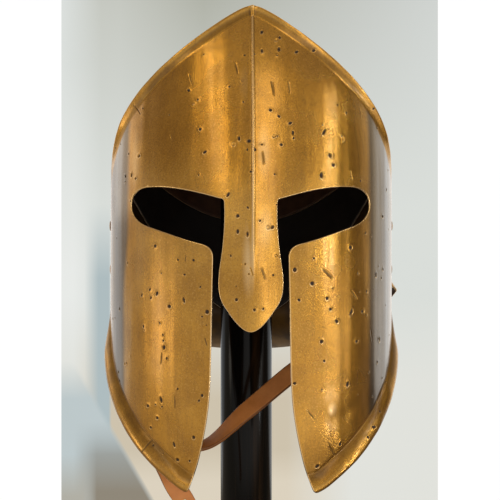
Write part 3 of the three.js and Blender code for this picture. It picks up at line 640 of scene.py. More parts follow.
def pit_wear(pit, points):
    """Depth and darkness of one pit at chart points, with a painted highlight on the lower side of its rim.
    """
    u, h, tall, wide, turn = pit
    c, s = math.cos(math.radians(turn)), math.sin(math.radians(turn))
    x, y = points[:, 0] - u, points[:, 1] - h
    r = np.hypot((x * c - y * s) / (0.5 * wide), (x * s + y * c) / (0.5 * tall))
    hollow = np.clip(1 - r**2, 0, 1)
    rim = gauss(r - PIT_FORM["rim_at"], PIT_FORM["rim_half"])
    deep = PIT_FORM["deep"] * math.sqrt(tall * wide)
    below = np.clip(0.5 - 0.7 * y / np.maximum(np.hypot(x, y), 1e-6), 0, 1)
    return deep * (PIT_FORM["rim"] * rim - hollow**0.8), hollow**0.3 - PIT_FORM["rim_highlight"] * rim * below


def slash_wear(slash, points):
    """Depth and darkness of one slash at chart points."""
    start, along, across, length, width = slash_axes(slash)
    t = (points - start) @ along / length
    off = (points - start) @ across / (0.5 * width)
    ends = np.clip(1 - (2 * t - 1) ** 2, 0, 1) ** 0.5
    cut = np.clip(1 - off**2, 0, 1) * ends
    rim = gauss(off - SLASH_FORM["rim_at"], SLASH_FORM["rim_half"]) * ends
    return SLASH_FORM["deep"] * width * (SLASH_FORM["rim"] * rim - cut), SLASH_FORM["dark"] * cut**0.6


def near(points, u, h, reach):
    """Indices of the points in a square about a place."""
    return np.nonzero((np.abs(points[:, 0] - u) < reach) & (np.abs(points[:, 1] - h) < reach))[0]


def strewn_pits(row):
    """Pits strewn at random over a chart, as rows like those of PITS."""
    rng = np.random.default_rng(row["seed"])
    return [
        (rng.uniform(*row["u"]), rng.uniform(*row["h"]), size * rng.uniform(0.8, row["longest"]),
         size, rng.uniform(-60, 60))
        for size in rng.uniform(*row["wide"], row["count"])
    ]


def pitted(chart, pits):
    """Relief and darkness of all the pits at chart points."""
    cut = np.zeros(len(chart))
    dark = np.zeros(len(chart))
    for pit in pits:
        at = near(chart, pit[0], pit[1], 2 + pit[2])
        depth, tone = pit_wear(pit, chart[at])
        cut[at] += depth
        dark[at] = np.where(tone < 0, np.minimum(dark[at], tone), np.maximum(dark[at], tone))
    return cut, dark


def worked(points, seed, dents):
    """Uneven hand-worked surface: long soft waves and a number of shallow dents, in mm outwards."""
    rng = np.random.default_rng(seed)
    height = np.zeros(len(points))
    for _ in range(WAVES["count"]):
        wave = unit(rng.normal(size=3)) * math.tau / rng.uniform(*WAVES["length"])
        height += WAVES["height"] * np.sin(points @ wave + rng.uniform(0, math.tau))
    for spot in points[rng.integers(0, len(points), dents)]:
        reach = rng.uniform(*STREWN_DENTS["reach"])
        depth = rng.uniform(*STREWN_DENTS["depth"])
        height -= depth * np.exp(-(((points - spot) ** 2).sum(1)) / reach**2)
    return height


def add_object(name, data):
    obj = bpy.data.objects.new(name, data)
    bpy.context.scene.collection.objects.link(obj)
    return obj


def make_object(name, vertices, faces, material, marks=None, merge=0.0):
    """A mesh from points in mm, with its faces turned outwards and its marks by point, riding the root."""
    mesh = bpy.data.meshes.new(name)
    mesh.from_pydata((np.asarray(vertices) * MM).tolist(), [], faces)
    for mark, values in (marks or {}).items():
        mesh.attributes.new(mark, "FLOAT", "POINT").data.foreach_set("value", np.asarray(values, np.float32))
    grid = bmesh.new()
    grid.from_mesh(mesh)
    if merge:
        bmesh.ops.remove_doubles(grid, verts=grid.verts, dist=merge * MM)
    bmesh.ops.recalc_face_normals(grid, faces=grid.faces)
    grid.to_mesh(mesh)
    grid.free()
    mesh.shade_smooth()
    mesh.materials.append(material)
    obj = add_object(name, mesh)
    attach(obj, "root")
    return obj


def thinned(placed, candidates, distance):
    """Candidates that keep clear of the points already placed."""
    tree = KDTree(len(placed))
    for i, (a, b) in enumerate(placed):
        tree.insert((a, b, 0), i)
    tree.balance()
    clear = np.array([tree.find((a, b, 0))[2] > distance for a, b in candidates], bool)
    return candidates[clear]


def triangles(loops, inner_points):
    """Triangles over the chart between the loops and through the inner points."""
    points = np.concatenate([*loops, inner_points])
    edges = []
    start = 0
    for loop in loops:
        edges += [(start + i, start + (i + 1) % len(loop)) for i in range(len(loop))]
        start += len(loop)
    result = delaunay_2d_cdt([Vector(p) for p in points], edges, [], 0, 1e-7, True)
    kept = np.array([tuple(v) for v in result[0]])
    source = np.array([ids[0] if ids else -1 for ids in result[3]])
    faces = np.array(result[2])
    faces = source[faces[inside_loops(kept[faces].mean(1), loops)]]
    return points, faces[(faces >= 0).all(1)]


def cut_sheet(
    name, place, loops, thick, material, sizes, tones,
    rounding=SHEET_ROUNDING, extra=(), wear=None, seam=None,
):
    """A closed sheet cut to loops in its chart.

    sizes are the mesh sizes outside and inside, and tones the darkness of the outside, cut edge and inside.
    extra holds (points, clearance) laid before the even grid, wear gives wave, cut, darkness (patina with
    painted shade and highlights) and the painted reflection on the sides at chart points, and seam marks the
    points that fold onto their mirror images.
    """
    edge = np.concatenate(loops)
    inward = np.concatenate([loop_normals(loop) * (1 if i == 0 else -1) for i, loop in enumerate(loops)])
    held = np.zeros(len(edge), bool) if seam is None else seam
    split = np.cumsum([len(loop) for loop in loops])[:-1]
    inset_loops = np.split(edge + np.where(held, 0, rounding)[:, None] * inward, split)
    low, high = edge.min(0), edge.max(0)
    free, free_inward = edge[~held], inward[~held]
    rows = [(free + free_inward * (rounding + away), clear) for away, clear in EDGE_ROWS]
    rows += [*extra, (hex_points(low, high, sizes[0]), 0.7 * sizes[0])]
    grown = edge
    for candidates, clear in rows:
        candidates = candidates[inside_loops(candidates, loops)]
        grown = np.concatenate([grown, thinned(grown, candidates, clear)])
    outer_chart, outer_faces = triangles(inset_loops, grown[len(edge):])
    plain = hex_points(low, high, sizes[1])
    plain = plain[inside_loops(plain, loops)]
    inner_chart, inner_faces = triangles(inset_loops, thinned(edge, plain, 0.6 * sizes[1]))

    def layer(chart, depth):
        points, normal = place(chart[:, 0], chart[:, 1])
        wave, cut, dark, painted_side_reflection = wear(chart, points) if wear else np.zeros((4, len(chart)))
        lift = wave - depth + (cut if depth == 0 else 0)
        return points + normal * np.asarray(lift)[:, None], dark, painted_side_reflection

    outside, dark, painted_side_reflection = layer(outer_chart, 0)
    dark[: len(edge)] = tones[1] - tones[0]
    inside = layer(inner_chart, thick)[0]
    rings = [layer(edge, depth)[0] for depth in (rounding, thick - rounding)]
    vertices = np.concatenate([outside, *rings, inside])
    rim_start = len(outside)
    inner_start = rim_start + 2 * len(edge)
    chain = [0, rim_start, rim_start + len(edge), inner_start]
    faces = [*outer_faces.tolist(), *(inner_faces + inner_start).tolist()]
    start = 0
    for loop in loops:
        for k in range(len(loop)):
            here, there = start + k, start + (k + 1) % len(loop)
            if not (held[here] and held[there]):
                faces += [(a + here, a + there, b + there, b + here) for a, b in zip(chain, chain[1:])]
        start += len(loop)
    cut_tone = np.full(2 * len(edge), tones[1])
    patina_edges_and_painted_light = np.concatenate([dark + tones[0], cut_tone, np.full(len(inside), tones[2])])
    painted_side_reflection = np.concatenate([painted_side_reflection, np.zeros(len(patina_edges_and_painted_light) - len(painted_side_reflection))])
    marks = {"patina_edges_and_painted_light": patina_edges_and_painted_light, "painted_side_reflection": painted_side_reflection}
    return make_object(name, vertices, faces, material, marks, merge=0.02 if held.any() else 0)


def lathe(profile, segments):
    """Points and faces of a solid turned about Z, from (radius, height) rows with both ends on the axis."""
    turns = np.arange(segments) * math.tau / segments
    inner = profile[1:-1]
    vertices = [(0, 0, profile[0][1])]
    vertices += [(r * math.cos(t), r * math.sin(t), z) for r, z in inner for t in turns]
    vertices += [(0, 0, profile[-1][1])]
    faces = []
    for k in range(segments):
        after = (k + 1) % segments
        faces.append((0, 1 + k, 1 + after))
        for row in range(len(inner) - 1):
            low, up = 1 + row * segments, 1 + (row + 1) * segments
            faces.append((low + k, low + after, up + after, up + k))
        last = 1 + (len(inner) - 1) * segments
        faces.append((last + k, last + after, len(vertices) - 1))
    return np.array(vertices, float), faces


def rounded_profile(profile, radius, steps=4):
    """A profile with each corner off the axis rounded."""
    rows = [profile[0]]
    for before, corner, after in zip(profile, profile[1:], profile[2:]):
        corner = np.array(corner, float)
        to_before, to_after = np.array(before) - corner, np.array(after) - corner
        reach = min(radius, 0.45 * np.linalg.norm(to_before), 0.45 * np.linalg.norm(to_after))
        first = corner + to_before / np.linalg.norm(to_before) * reach
        last = corner + to_after / np.linalg.norm(to_after) * reach
        for t in np.linspace(0, 1, steps + 1):
            rows.append(tuple(quadratic(first, corner, last, t)))
    return [*rows, profile[-1]]


def locate(place, targets, guess):
    """Chart points whose places come nearest to the targets."""
    chart = np.array(guess, float)
    step = 0.05
    for _ in range(12):
        here = place(chart[:, 0], chart[:, 1])[0]
        by_a = (place(chart[:, 0] + step, chart[:, 1])[0] - here) / step
        by_b = (place(chart[:, 0], chart[:, 1] + step)[0] - here) / step
        miss = targets - here
        aa, ab, bb = (by_a * by_a).sum(1), (by_a * by_b).sum(1), (by_b * by_b).sum(1)
        ma, mb = (miss * by_a).sum(1), (miss * by_b).sum(1)
        det = np.maximum(aa * bb - ab * ab, 1e-9)
        chart += np.clip(np.stack([(bb * ma - ab * mb) / det, (aa * mb - ab * ma) / det], 1), -20, 20)
    return chart


# Materials
def new_material(name):
    mat = bpy.data.materials.new(name)
    mat.use_nodes = True
    return mat, mat.node_tree, mat.node_tree.nodes["Principled BSDF"]


def is_socket(value):
    return isinstance(value, bpy.types.NodeSocket)


def set_inputs(tree, node, inputs):
    """Links or sets a node's inputs."""
    for key, value in inputs.items():
        if is_socket(value):
            tree.links.new(value, node.inputs[key])
        else:
            node.inputs[key].default_value = value


def add_node(tree, kind, inputs=None, **settings):
    node = tree.nodes.new(kind)
    for key, value in settings.items():
        setattr(node, key, value)
    set_inputs(tree, node, inputs or {})
    return node


def object_place(tree, scale):
    place = add_node(tree, "ShaderNodeTexCoord").outputs["Object"]
    return add_node(tree, "ShaderNodeMapping", {"Vector": place, "Scale": scale}).outputs[0]


def noise(tree, scale, detail=2.0, stretch=(1, 1, 1), rough=0.5):
    place = object_place(tree, tuple(scale * s for s in stretch))
    inputs = {"Vector": place, "Scale": 1.0, "Detail": detail, "Roughness": rough}
    return add_node(tree, "ShaderNodeTexNoise", inputs).outputs["Fac"]


def mark_value(tree, name):
    """The value a mesh carries at its points under a name."""
    return add_node(tree, "ShaderNodeAttribute", attribute_name=name).outputs["Fac"]


def ramp(tree, value, low, high, out_low=0.0, out_high=1.0):
    inputs = {"Value": value, "From Min": low, "From Max": high, "To Min": out_low, "To Max": out_high}
    return add_node(tree, "ShaderNodeMapRange", inputs, clamp=True).outputs[0]


def blend(tree, factor, first, second):
    first, second = (value if is_socket(value) else (*value, 1) for value in (first, second))
    return add_node(tree, "ShaderNodeMix", {0: factor, 6: first, 7: second}, data_type="RGBA").outputs[2]


def maths(tree, operation, first, second=0.0):
    return add_node(tree, "ShaderNodeMath", {0: first, 1: second}, operation=operation).outputs[0]


def bump(tree, height, strength, distance, normal=None):
    inputs = {"Height": height, "Strength": strength, "Distance": distance}
    if normal is not None:
        inputs["Normal"] = normal
    return add_node(tree, "ShaderNodeBump", inputs).outputs[0]


def brass_material():
    mat, tree, shader = new_material("aged_brass")
    patina_edges_and_painted_light, painted_side_reflection = mark_value(tree, "patina_edges_and_painted_light"), mark_value(tree, "painted_side_reflection")
    cloud = noise(tree, 14, 4.0, rough=0.6)
    blotch = noise(tree, 42, 2.0)
    streak = noise(tree, 330, 3.0, (1, 1, 0.06), 0.55)
    grain = noise(tree, 1500, 2.0, (1, 1, 0.06), 0.6)
    speck = noise(tree, 850, 3.0, rough=0.7)
    colour = blend(tree, ramp(tree, cloud, 0.35, 0.68), (0.54, 0.245, 0.010), (0.85, 0.43, 0.045))
    # Each layer's pattern, where it starts and is full, its greatest share and its tone
    for pattern, start, full, share, tone in (
        (blotch, 0.45, 0.72, 0.45, (0.36, 0.16, 0.015)),
        (streak, 0.5, 0.75, 0.35, (0.38, 0.17, 0.02)),
        (speck, 0.55, 0.70, 0.5, (0.20, 0.095, 0.015)),
        (speck, 0.45, 0.30, 0.4, (1.0, 0.60, 0.14)),
        # Painted reflection on the sides: a darker, duller brass, so the clear coat's reflection reads grey
        (painted_side_reflection, 0.0, 1.0, 0.88, (0.12, 0.082, 0.042)),
        # Paler brass where the mark is below nought: painted highlights on pit rims, the bead and patches,
        # and the paler cut edges
        (patina_edges_and_painted_light, -0.05, -0.4, 1.0, (0.95, 0.62, 0.26)),
    ):
        colour = blend(tree, ramp(tree, pattern, start, full, 0.0, share), colour, tone)
    # Darkening by the mark: patina in pits and slashes, painted shade in the lip's groove and roll and on the
    # flange, and the darker inside
    dark = ramp(tree, maths(tree, "ADD", patina_edges_and_painted_light, ramp(tree, blotch, 0.4, 0.6, -0.06, 0.06)), 0.08, 0.9)
    rough = ramp(tree, blotch, 0.35, 0.7, 0.23, 0.30)
    normal = bump(tree, grain, 0.22, 0.0002)
    normal = bump(tree, streak, 0.14, 0.0003, normal)
    set_inputs(tree, shader, {
        "Base Color": blend(tree, dark, colour, (0.045, 0.024, 0.011)),
        "Metallic": ramp(tree, dark, 0.5, 1.0, 1.0, 0.3),
        "Roughness": maths(tree, "ADD", rough, ramp(tree, dark, 0.0, 1.0, 0.0, 0.3)),
        "Normal": bump(tree, speck, 0.07, 0.0002, normal),
        "Coat Weight": ramp(tree, dark, 0.3, 0.9, 1.0, 0.15),
        "Coat Roughness": 0.2,
        "Coat Normal": bump(tree, streak, 0.08, 0.0003),
    })
    return mat


def leather_material(name, light, deep, edge, rough, coarse):
    """Leather with a pebbled grain; on leather the marked darkness shows only the raw cut edge."""
    mat, tree, shader = new_material(name)
    cloud = noise(tree, 60, 5.0, rough=0.6)
    place = object_place(tree, (coarse,) * 3)
    pores = add_node(tree, "ShaderNodeTexVoronoi", {"Vector": place, "Scale": 1.0})
    colour = blend(tree, ramp(tree, cloud, 0.3, 0.7), deep, light)
    normal = bump(tree, pores.outputs["Distance"], 0.35, 0.0003)
    set_inputs(tree, shader, {
        "Base Color": blend(tree, ramp(tree, mark_value(tree, "patina_edges_and_painted_light"), 0.3, 0.8), colour, edge),
        "Roughness": ramp(tree, cloud, 0.3, 0.7, rough - 0.07, rough + 0.08),
        "Normal": bump(tree, noise(tree, 240, 4.0), 0.3, 0.0005, normal),
    })
    return mat


def lacquer_material():
    """Near-black lacquer with a little brown wood grain showing through."""
    mat, tree, shader = new_material("black_lacquer")
    grain = noise(tree, 130, 3.0, (1, 1, 0.03), 0.6)
    colour = blend(tree, ramp(tree, grain, 0.5, 0.75), (0.003, 0.003, 0.003), (0.035, 0.019, 0.009))
    set_inputs(tree, shader, {"Base Color": colour, "Roughness": 0.15, "Specular IOR Level": 0.2})
    return mat


brass = brass_material()
leathers = {
    "black_leather": leather_material(
        "lining_leather", (0.022, 0.014, 0.010), (0.010, 0.007, 0.006), (0.42, 0.34, 0.25), 0.62, 900
    ),
    "brown_leather": leather_material(
        "cap_leather", (0.15, 0.065, 0.03), (0.06, 0.026, 0.013), (0.40, 0.25, 0.14), 0.5, 900
    ),
    "strap_leather": leather_material(
        "strap_leather", (1.0, 0.39, 0.11), (0.76, 0.26, 0.06), (0.34, 0.12, 0.025), 0.4, 1100
    ),
}
lacquer = lacquer_material()


# Face plate
def arch_row(distance, step):
    u = np.linspace(-PLATE_REAR_U, PLATE_REAR_U, round(2 * PLATE_REAR_U / step))
    slope = slope_of(arch_h, u)
    away = distance / np.hypot(1, slope)
    return np.stack([u + slope * away, arch_h(u) - away], 1)


def cheek_row(distance, step):
    low = np.linspace(SLOT[-1][1], PLATE_REAR_U, round(PLATE_REAR_U / step))
    u = np.concatenate([-low[::-1], low])
    across = np.abs(u)
    slope = slope_of(cheek_edge_h, across)
    away = distance / np.hypot(1, slope)
    return np.stack([np.sign(u) * (across - slope * away), cheek_edge_h(across) + away], 1)


plate_pits = [*PITS, *strewn_pits(PLATE_PITS)]


def flutes(chart, seed):
    """Faint upright waves left by planishing, in mm outwards."""
    rng = np.random.default_rng(seed)
    height = np.zeros(len(chart))
    for _ in range(FLUTES["count"]):
        length = rng.uniform(*FLUTES["length"])
        reach, bend = rng.uniform(*FLUTES["sway"]), rng.uniform(*FLUTES["sway_length"])
        sway = reach * np.sin(chart[:, 1] / bend + rng.uniform(0, math.tau))
        phase = rng.uniform(0, math.tau)
        height += FLUTES["height"] * length * np.sin((chart[:, 0] + sway) * math.tau / length + phase)
    return height


def plate_wear(chart, points):
    """Wave, cut, darkness and painted side reflection of the face plate at chart points; the darkness is
    patina with painted shade and highlights.
    """
    wave = worked(points, seed=11, dents=40) + flutes(chart, seed=17)
    for u, h, reach, depth in DENTS:
        wave -= depth * np.exp(-((chart[:, 0] - u) ** 2 + (chart[:, 1] - h) ** 2) / reach**2)
    cut, dark = pitted(chart, plate_pits)
    for slash in SLASHES:
        middle = np.mean(slash[:2], axis=0)
        at = near(chart, middle[0], middle[1], 12)
        depth, tone = slash_wear(slash, chart[at])
        cut[at] += depth
        dark[at] = np.maximum(dark[at], tone)
    u, h = chart[:, 0], chart[:, 1]
    across = np.abs(u)
    to_arch, to_lip = edge_distances(across, h)
    # The lip's groove, cut in and darkened with painted shade
    groove = gauss(to_lip - LIP["width"], GROOVE["half"]) * (1 - smoothstep(*GROOVE["fade"], across))
    # Painted shade in the flange's crease and along its band
    crease = ARCH_PAINTED_SHADE["crease"] * gauss(to_arch - FLANGE["width"], ARCH_PAINTED_SHADE["crease_half"])
    flange_shade = np.maximum(painted_strip_shade(ARCH_PAINTED_SHADE, to_arch), crease) * (1 - smoothstep(*ARCH_SHADE_FADE, across))
    # Painted shade on the lip's roll and its turned-in edge
    lip_shade = sum(painted_strip_shade(row, to_lip) for row in LIP_PAINTED_SHADE)
    # Points on a pit's painted highlight, its brighter lower rim, keep their tone; elsewhere the darkest of
    # the pit's patina and the painted shade of the groove, flange and lip is kept
    dark = np.where(dark < -0.05, dark, np.max([dark, GROOVE["tone"] * groove, flange_shade, lip_shade], axis=0))
    # Painted highlight on the bead and painted shade at its feet
    bead_full = smoothstep(BEAD["gone_below"], BEAD["full_above"], h)
    dark -= BEAD_PAINTED_LIGHT["highlight"] * gauss(u, BEAD_PAINTED_LIGHT["highlight_half"]) * bead_full
    foot_shade = np.where(u < 0, BEAD_PAINTED_LIGHT["foot_shade_left"], BEAD_PAINTED_LIGHT["foot_shade_right"])
    dark += gauss(across - BEAD["half"], BEAD_PAINTED_LIGHT["foot_shade_half"]) * foot_shade * bead_full
    # Painted highlights as paler patches
    for at_u, at_h, reach_u, reach_h, share in PAINTED_HIGHLIGHTS:
        dark -= share * gauss(u - at_u, reach_u) * gauss(h - at_h, reach_h)
    # Painted reflection on the sides, kept off the lip and the flange
    low_left = across - SIDE_PAINTED_REFLECTION["later"] * (1 - smoothstep(*SIDE_PAINTED_REFLECTION["later_below"], h))
    right, left = smoothstep(*SIDE_PAINTED_REFLECTION["right"], across), smoothstep(*SIDE_PAINTED_REFLECTION["left"], low_left)
    painted_side_reflection = np.where(u > 0, right, left) * (1 - smoothstep(*SIDE_PAINTED_REFLECTION["rear"], across))
    painted_side_reflection *= smoothstep(*SIDE_PAINTED_REFLECTION["off_lip"], to_lip) * smoothstep(*SIDE_PAINTED_REFLECTION["off_arch"], to_arch)
    return wave - GROOVE["deep"] * groove, cut, dark, painted_side_reflection


def circle(centre, radius):
    turns = np.arange(HOLE_SIDES) * math.tau / HOLE_SIDES
    return np.array(centre) + radius * np.stack([np.cos(turns), np.sin(turns)], 1)


def rivet_centre(u, h, side):
    return to_frame(side * (HALF_WIDTH + GAP), section_at(u)[1] + lean(h), h)


def rivet_rim(u, h, side):
    """Points round the hole that a rivet's shank passes through."""
    return rivet_centre(u, h, side) + np.column_stack([np.zeros(HOLE_SIDES), circle((0, 0), hole_radius)])


hole_radius = RIVET["shank"] + GAP
rivet_holes = [circle((side * u, h), hole_radius) for u, h, _ in RIVETS for side in (-1, 1)]
bead_h = np.arange(BEAD["gone_below"], ARCH["apex"], 1.2)
plate_extra = [(pit_points(pit), 0.25) for pit in plate_pits]
plate_extra += [(slash_points(slash), 0.2) for slash in SLASHES]
plate_extra += [(np.stack([np.full(len(bead_h), u), bead_h], 1), 0.5) for u in BEAD_ROWS]
plate_extra += [(arch_row(distance, PLATE_MESH["step"]), 0.5) for distance in ARCH_ROWS]
plate_extra += [(cheek_row(distance, PLATE_MESH["step"]), 0.45) for distance in LIP_ROWS]
plate_loops = [plate_loop(PLATE_MESH["step"]), *rivet_holes]
face_plate = cut_sheet(
    "face_plate_fine", plate_place, plate_loops, BRASS, brass, PLATE_MESH["sizes"], BRASS_TONES,
    extra=plate_extra, wear=plate_wear,
)
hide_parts("face_plate")


# Skull
skull_pits = strewn_pits(SKULL_PITS)


def skull_wear(chart, points):
    """Wave, cut and darkness of the skull at chart points, with no painted side reflection."""
    return worked(points, seed=23, dents=60), *pitted(chart, skull_pits), np.zeros(len(chart))


def skull_loop(step):
    """The skull's chart outline, and which of its points lie on the fold along the crest."""
    across = np.linspace(-CHART_ACROSS, CHART_ACROSS, 2 * round(CHART_ACROSS / step) + 1)
    up = np.linspace(0, CHART_UP, round(CHART_UP / step) + 1)[1:-1]
    loop = np.concatenate([
        np.stack([across, np.zeros(len(across))], 1),
        np.stack([np.full(len(up), CHART_ACROSS), up], 1),
        np.stack([across[::-1], np.full(len(across), CHART_UP)], 1),
        np.stack([np.full(len(up), -CHART_ACROSS), up[::-1]], 1),
    ])
    return loop, loop[:, 1] == CHART_UP


skull_surface = skull_place(lap_front_d, neck_edge_h, 0)
skull_outline, skull_seam = skull_loop(SKULL_MESH["step"])
skull_holes = []
for u, h, _ in RIVETS:
    for side in (-1, 1):
        guess = np.tile([side * 0.72 * CHART_ACROSS, 0.2 * CHART_UP], (HOLE_SIDES, 1))
        skull_holes.append(locate(skull_surface, rivet_rim(u, h, side), guess))
skull_seam = np.concatenate([skull_seam, np.zeros(HOLE_SIDES * len(skull_holes), bool)])
skull_loops = [skull_outline, *skull_holes]
skull = cut_sheet(
    "skull_shell_fine", skull_surface, skull_loops, BRASS, brass, SKULL_MESH["sizes"], BRASS_TONES,
    extra=[(pit_points(pit), 0.25) for pit in skull_pits], wear=skull_wear, seam=skull_seam,
)
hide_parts("skull_shell")


# Linings
def liner_surface(form):
    def front_d(h):
        return arch_at(np.maximum(h, LAP["above"]))[1] + form["behind_arch"]

    def edge_h(turn):
        return form["back_h"] + form["rise"] * np.sin(np.minimum(np.abs(turn), math.pi / 2)) ** 2

    return skull_place(front_d, edge_h, form["depth"])


for name, form, slot in (("liner_shell", LINER, "black_leather"), ("liner_crown", CROWN, "brown_leather")):
    outline, fold = skull_loop(LINER_MESH["step"])
    piece = cut_sheet(
        f"{name}_fine", liner_surface(form), [outline], LEATHER, leathers[slot],
        LINER_MESH["sizes"], LEATHER_TONES, seam=fold,
    )
    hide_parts(name)


# Straps
def smooth_path(rows):
    """Points and width directions along a strap's rows, by share of the rows."""
    points = np.array([to_frame(*row[0]) for row in rows])
    widths = np.array([row[1] for row in rows], float)
    ghost = np.concatenate([[2 * points[0] - points[1]], points, [2 * points[-1] - points[-2]]])
    chord = np.sqrt(np.linalg.norm(np.diff(ghost, axis=0), axis=1))

    def along(t):
        at = np.clip(t, 0, 1) * (len(points) - 1)
        i = np.minimum(at.astype(int), len(points) - 2)
        w = (at - i)[:, None]
        p0, p1, p2, p3 = (ghost[i + k] for k in range(4))
        c0, c1, c2 = (chord[i + k][:, None] for k in range(3))
        t1 = ((p1 - p0) / c0 - (p2 - p0) / (c0 + c1) + (p2 - p1) / c1) * c1
        t2 = ((p2 - p1) / c1 - (p3 - p1) / (c1 + c2) + (p3 - p2) / c2) * c1
        centre = p1 + t1 * w + (3 * (p2 - p1) - 2 * t1 - t2) * w**2 + (2 * (p1 - p2) + t1 + t2) * w**3
        return centre, widths[i] + (widths[i + 1] - widths[i]) * w

    return along


def strap_place(rows):
    """A strap's outside by length along it and way across it, and its whole length."""
    along = smooth_path(rows)
    shares = np.linspace(0, 1, 1600)
    centres = along(shares)[0]
    lengths = np.concatenate([[0], np.cumsum(np.linalg.norm(np.diff(centres, axis=0), axis=1))])

    def place(a, b):
        t = np.interp(a, lengths, shares)
        centre, width = along(t)
        tangent = unit(along(np.minimum(1, t + 0.001))[0] - along(np.maximum(0, t - 0.001))[0])
        width = unit(width - tangent * (width * tangent).sum(1)[:, None])
        normal = np.cross(width, tangent)
        sunk = STRAP_CROWN * (1 - (b / (STRAP_WIDTH / 2)) ** 2) - STRAP_CROWN
        return centre + width * b[:, None] + normal * (STRAP / 2 + sunk)[:, None], normal

    return place, lengths[-1]


def strap_outline(length, step, tail):
    """A strap's outline in its chart: square at the start, and with rounded corners at the other end."""
    half = STRAP_WIDTH / 2
    side = np.arange(0, length - tail, step)
    turns = np.linspace(0, math.pi / 2, 10)
    end_low = np.stack([length - tail + tail * np.sin(turns), -half + half * (1 - np.cos(turns)) ** 1.5], 1)
    low = np.stack([side, np.full(len(side), -half)], 1)
    high = np.stack([side[::-1], np.full(len(side), half)], 1)
    across = np.linspace(half, -half, 9)[1:-1]
    start = np.stack([np.zeros(7), across], 1)
    end_high = (end_low * (1, -1))[::-1][1:]
    return np.concatenate([low, end_low, end_high, high, start])


def ring_axes():
    before = to_frame(*STRAP_LEFT[RING_ROW - 1][0])
    after = to_frame(*STRAP_LEFT[RING_ROW + 1][0])
    along = unit(after - before)
    wide = np.array(STRAP_LEFT[RING_ROW][1], float)
    wide = unit(wide - along * (wide @ along))
    across = np.cross(wide, along)
    across = across * np.sign(across[0])
    offset = RING["open_short"] / 2 - FOLD["radius"] + RING["bar"] / 2 - STRAP - GAP
    centre = to_frame(*STRAP_LEFT[RING_ROW][0]) - across * offset
    return along, wide, across, centre, centre + across * (RING["open_short"] + RING["bar"]) / 2


ring_along, ring_wide, ring_across, ring_centre, held_bar = ring_axes()


def folded_rows():
    """The right strap's rows, with its end folded round the held bar and laid back on itself."""

    def spot(out, up):
        point = held_bar + ring_across * out + ring_along * up
        return (point[0], point[1] - NOSE_Y, point[2] - MID_Z), tuple(ring_wide)

    radius = FOLD["radius"]
    bends = [math.radians(bend) for bend in FOLD["bends"]]
    bent = [spot(-radius * math.sin(bend), -radius * math.cos(bend)) for bend in bends]
    return [*STRAP_RIGHT, spot(FOLD["length"], -FOLD["closed"]), *bent, spot(FOLD["length"], FOLD["closed"])]


def strap_piece(name, rows, side, tail, holes):
    """One strap, with its rivet hole and with punched holes at distances back from its end."""
    place, length = strap_place(rows)
    u, h, _ = RIVETS[-1]
    rim = rivet_rim(u, h, side)
    rim[:, 0] = rows[0][0][0]
    hole = locate(place, rim, np.tile([9.0, 0.0], (HOLE_SIDES, 1)))
    loops = [strap_outline(length, STRAP_MESH["step"], tail), hole]
    loops += [circle((length - back, 0), PUNCH_RADIUS) for back in holes]
    piece = cut_sheet(
        f"{name}_fine", place, loops, STRAP, leathers["strap_leather"],
        STRAP_MESH["sizes"], LEATHER_TONES, STRAP_ROUNDING,
    )
    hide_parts(name)


strap_piece("strap_left", STRAP_LEFT, side=-1, tail=4, holes=(14, 30, 62, 78, 94))
strap_piece("strap_right", folded_rows(), side=1, tail=1.5, holes=())


def ring_piece():
    """The buckle ring of round bar."""
    radius, corner = RING["bar"] / 2, RING["corner"]
    long_in = RING["open_long"] / 2 + radius - corner
    short_in = RING["open_short"] / 2 + radius - corner
    path = []
    for quarter, (sx, sy) in enumerate(((1, 1), (-1, 1), (-1, -1), (1, -1))):
        for turn in np.linspace(0, math.pi / 2, 7) + quarter * math.pi / 2:
            path.append((sx * long_in + corner * math.cos(turn), sy * short_in + corner * math.sin(turn)))
    path = np.array(path)
    outward = unit(np.roll(path, -1, axis=0) - np.roll(path, 1, axis=0)) @ np.array([[0, -1], [1, 0]])
    sides, count = 16, len(path)
    side_axis = np.cross(ring_along, ring_wide)
    vertices = []
    for spot, away in zip(path, outward):
        for turn in np.arange(sides) * math.tau / sides:
            a, b = spot + away * radius * math.cos(turn)
            up = radius * math.sin(turn)
            vertices.append(ring_centre + ring_wide * a + side_axis * b + ring_along * up)
    faces = []
    for i in range(count):
        here, there = i * sides, (i + 1) % count * sides
        for k in range(sides):
            after = (k + 1) % sides
            faces.append((here + k, there + k, there + after, here + after))
    piece = make_object("buckle_ring_fine", vertices, faces, brass, {"patina_edges_and_painted_light": np.full(len(vertices), 0.1)})
    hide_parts("buckle_ring")


ring_piece()


# Rivets
dome_turns = np.linspace(0, math.pi / 2, 9)[1:-1]
dome_rise = RIVET["dome"] - RIVET["edge"]
dome = [(RIVET["head"] * math.cos(t), RIVET["edge"] + dome_rise * math.sin(t)) for t in dome_turns]
for number, (u, h, grip) in enumerate(RIVETS, 1):
    back = -grip - RIVET["tail_thick"]
    profile = [
        (0, back), (RIVET["tail"], back), (RIVET["tail"], -grip), (RIVET["shank"], -grip),
        (RIVET["shank"], 0), (RIVET["head"], 0), (RIVET["head"], RIVET["edge"]), *dome, (0, RIVET["dome"]),
    ]
    for side, word in ((-1, "left"), (1, "right")):
        points, faces = lathe(profile, segments=32)
        points = np.stack([side * points[:, 2], points[:, 1], points[:, 0]], 1) + rivet_centre(u, h, side)
        at_foot = np.abs(points[:, 0]) < HALF_WIDTH + GAP + RIVET_TONE["foot_height"]
        tone = np.where(at_foot, RIVET_TONE["foot"], RIVET_TONE["head"])
        piece = make_object(f"rivet_{word}_{number}_fine", points, faces, brass, {"patina_edges_and_painted_light": tone})
        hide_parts(f"rivet_{word}_{number}")


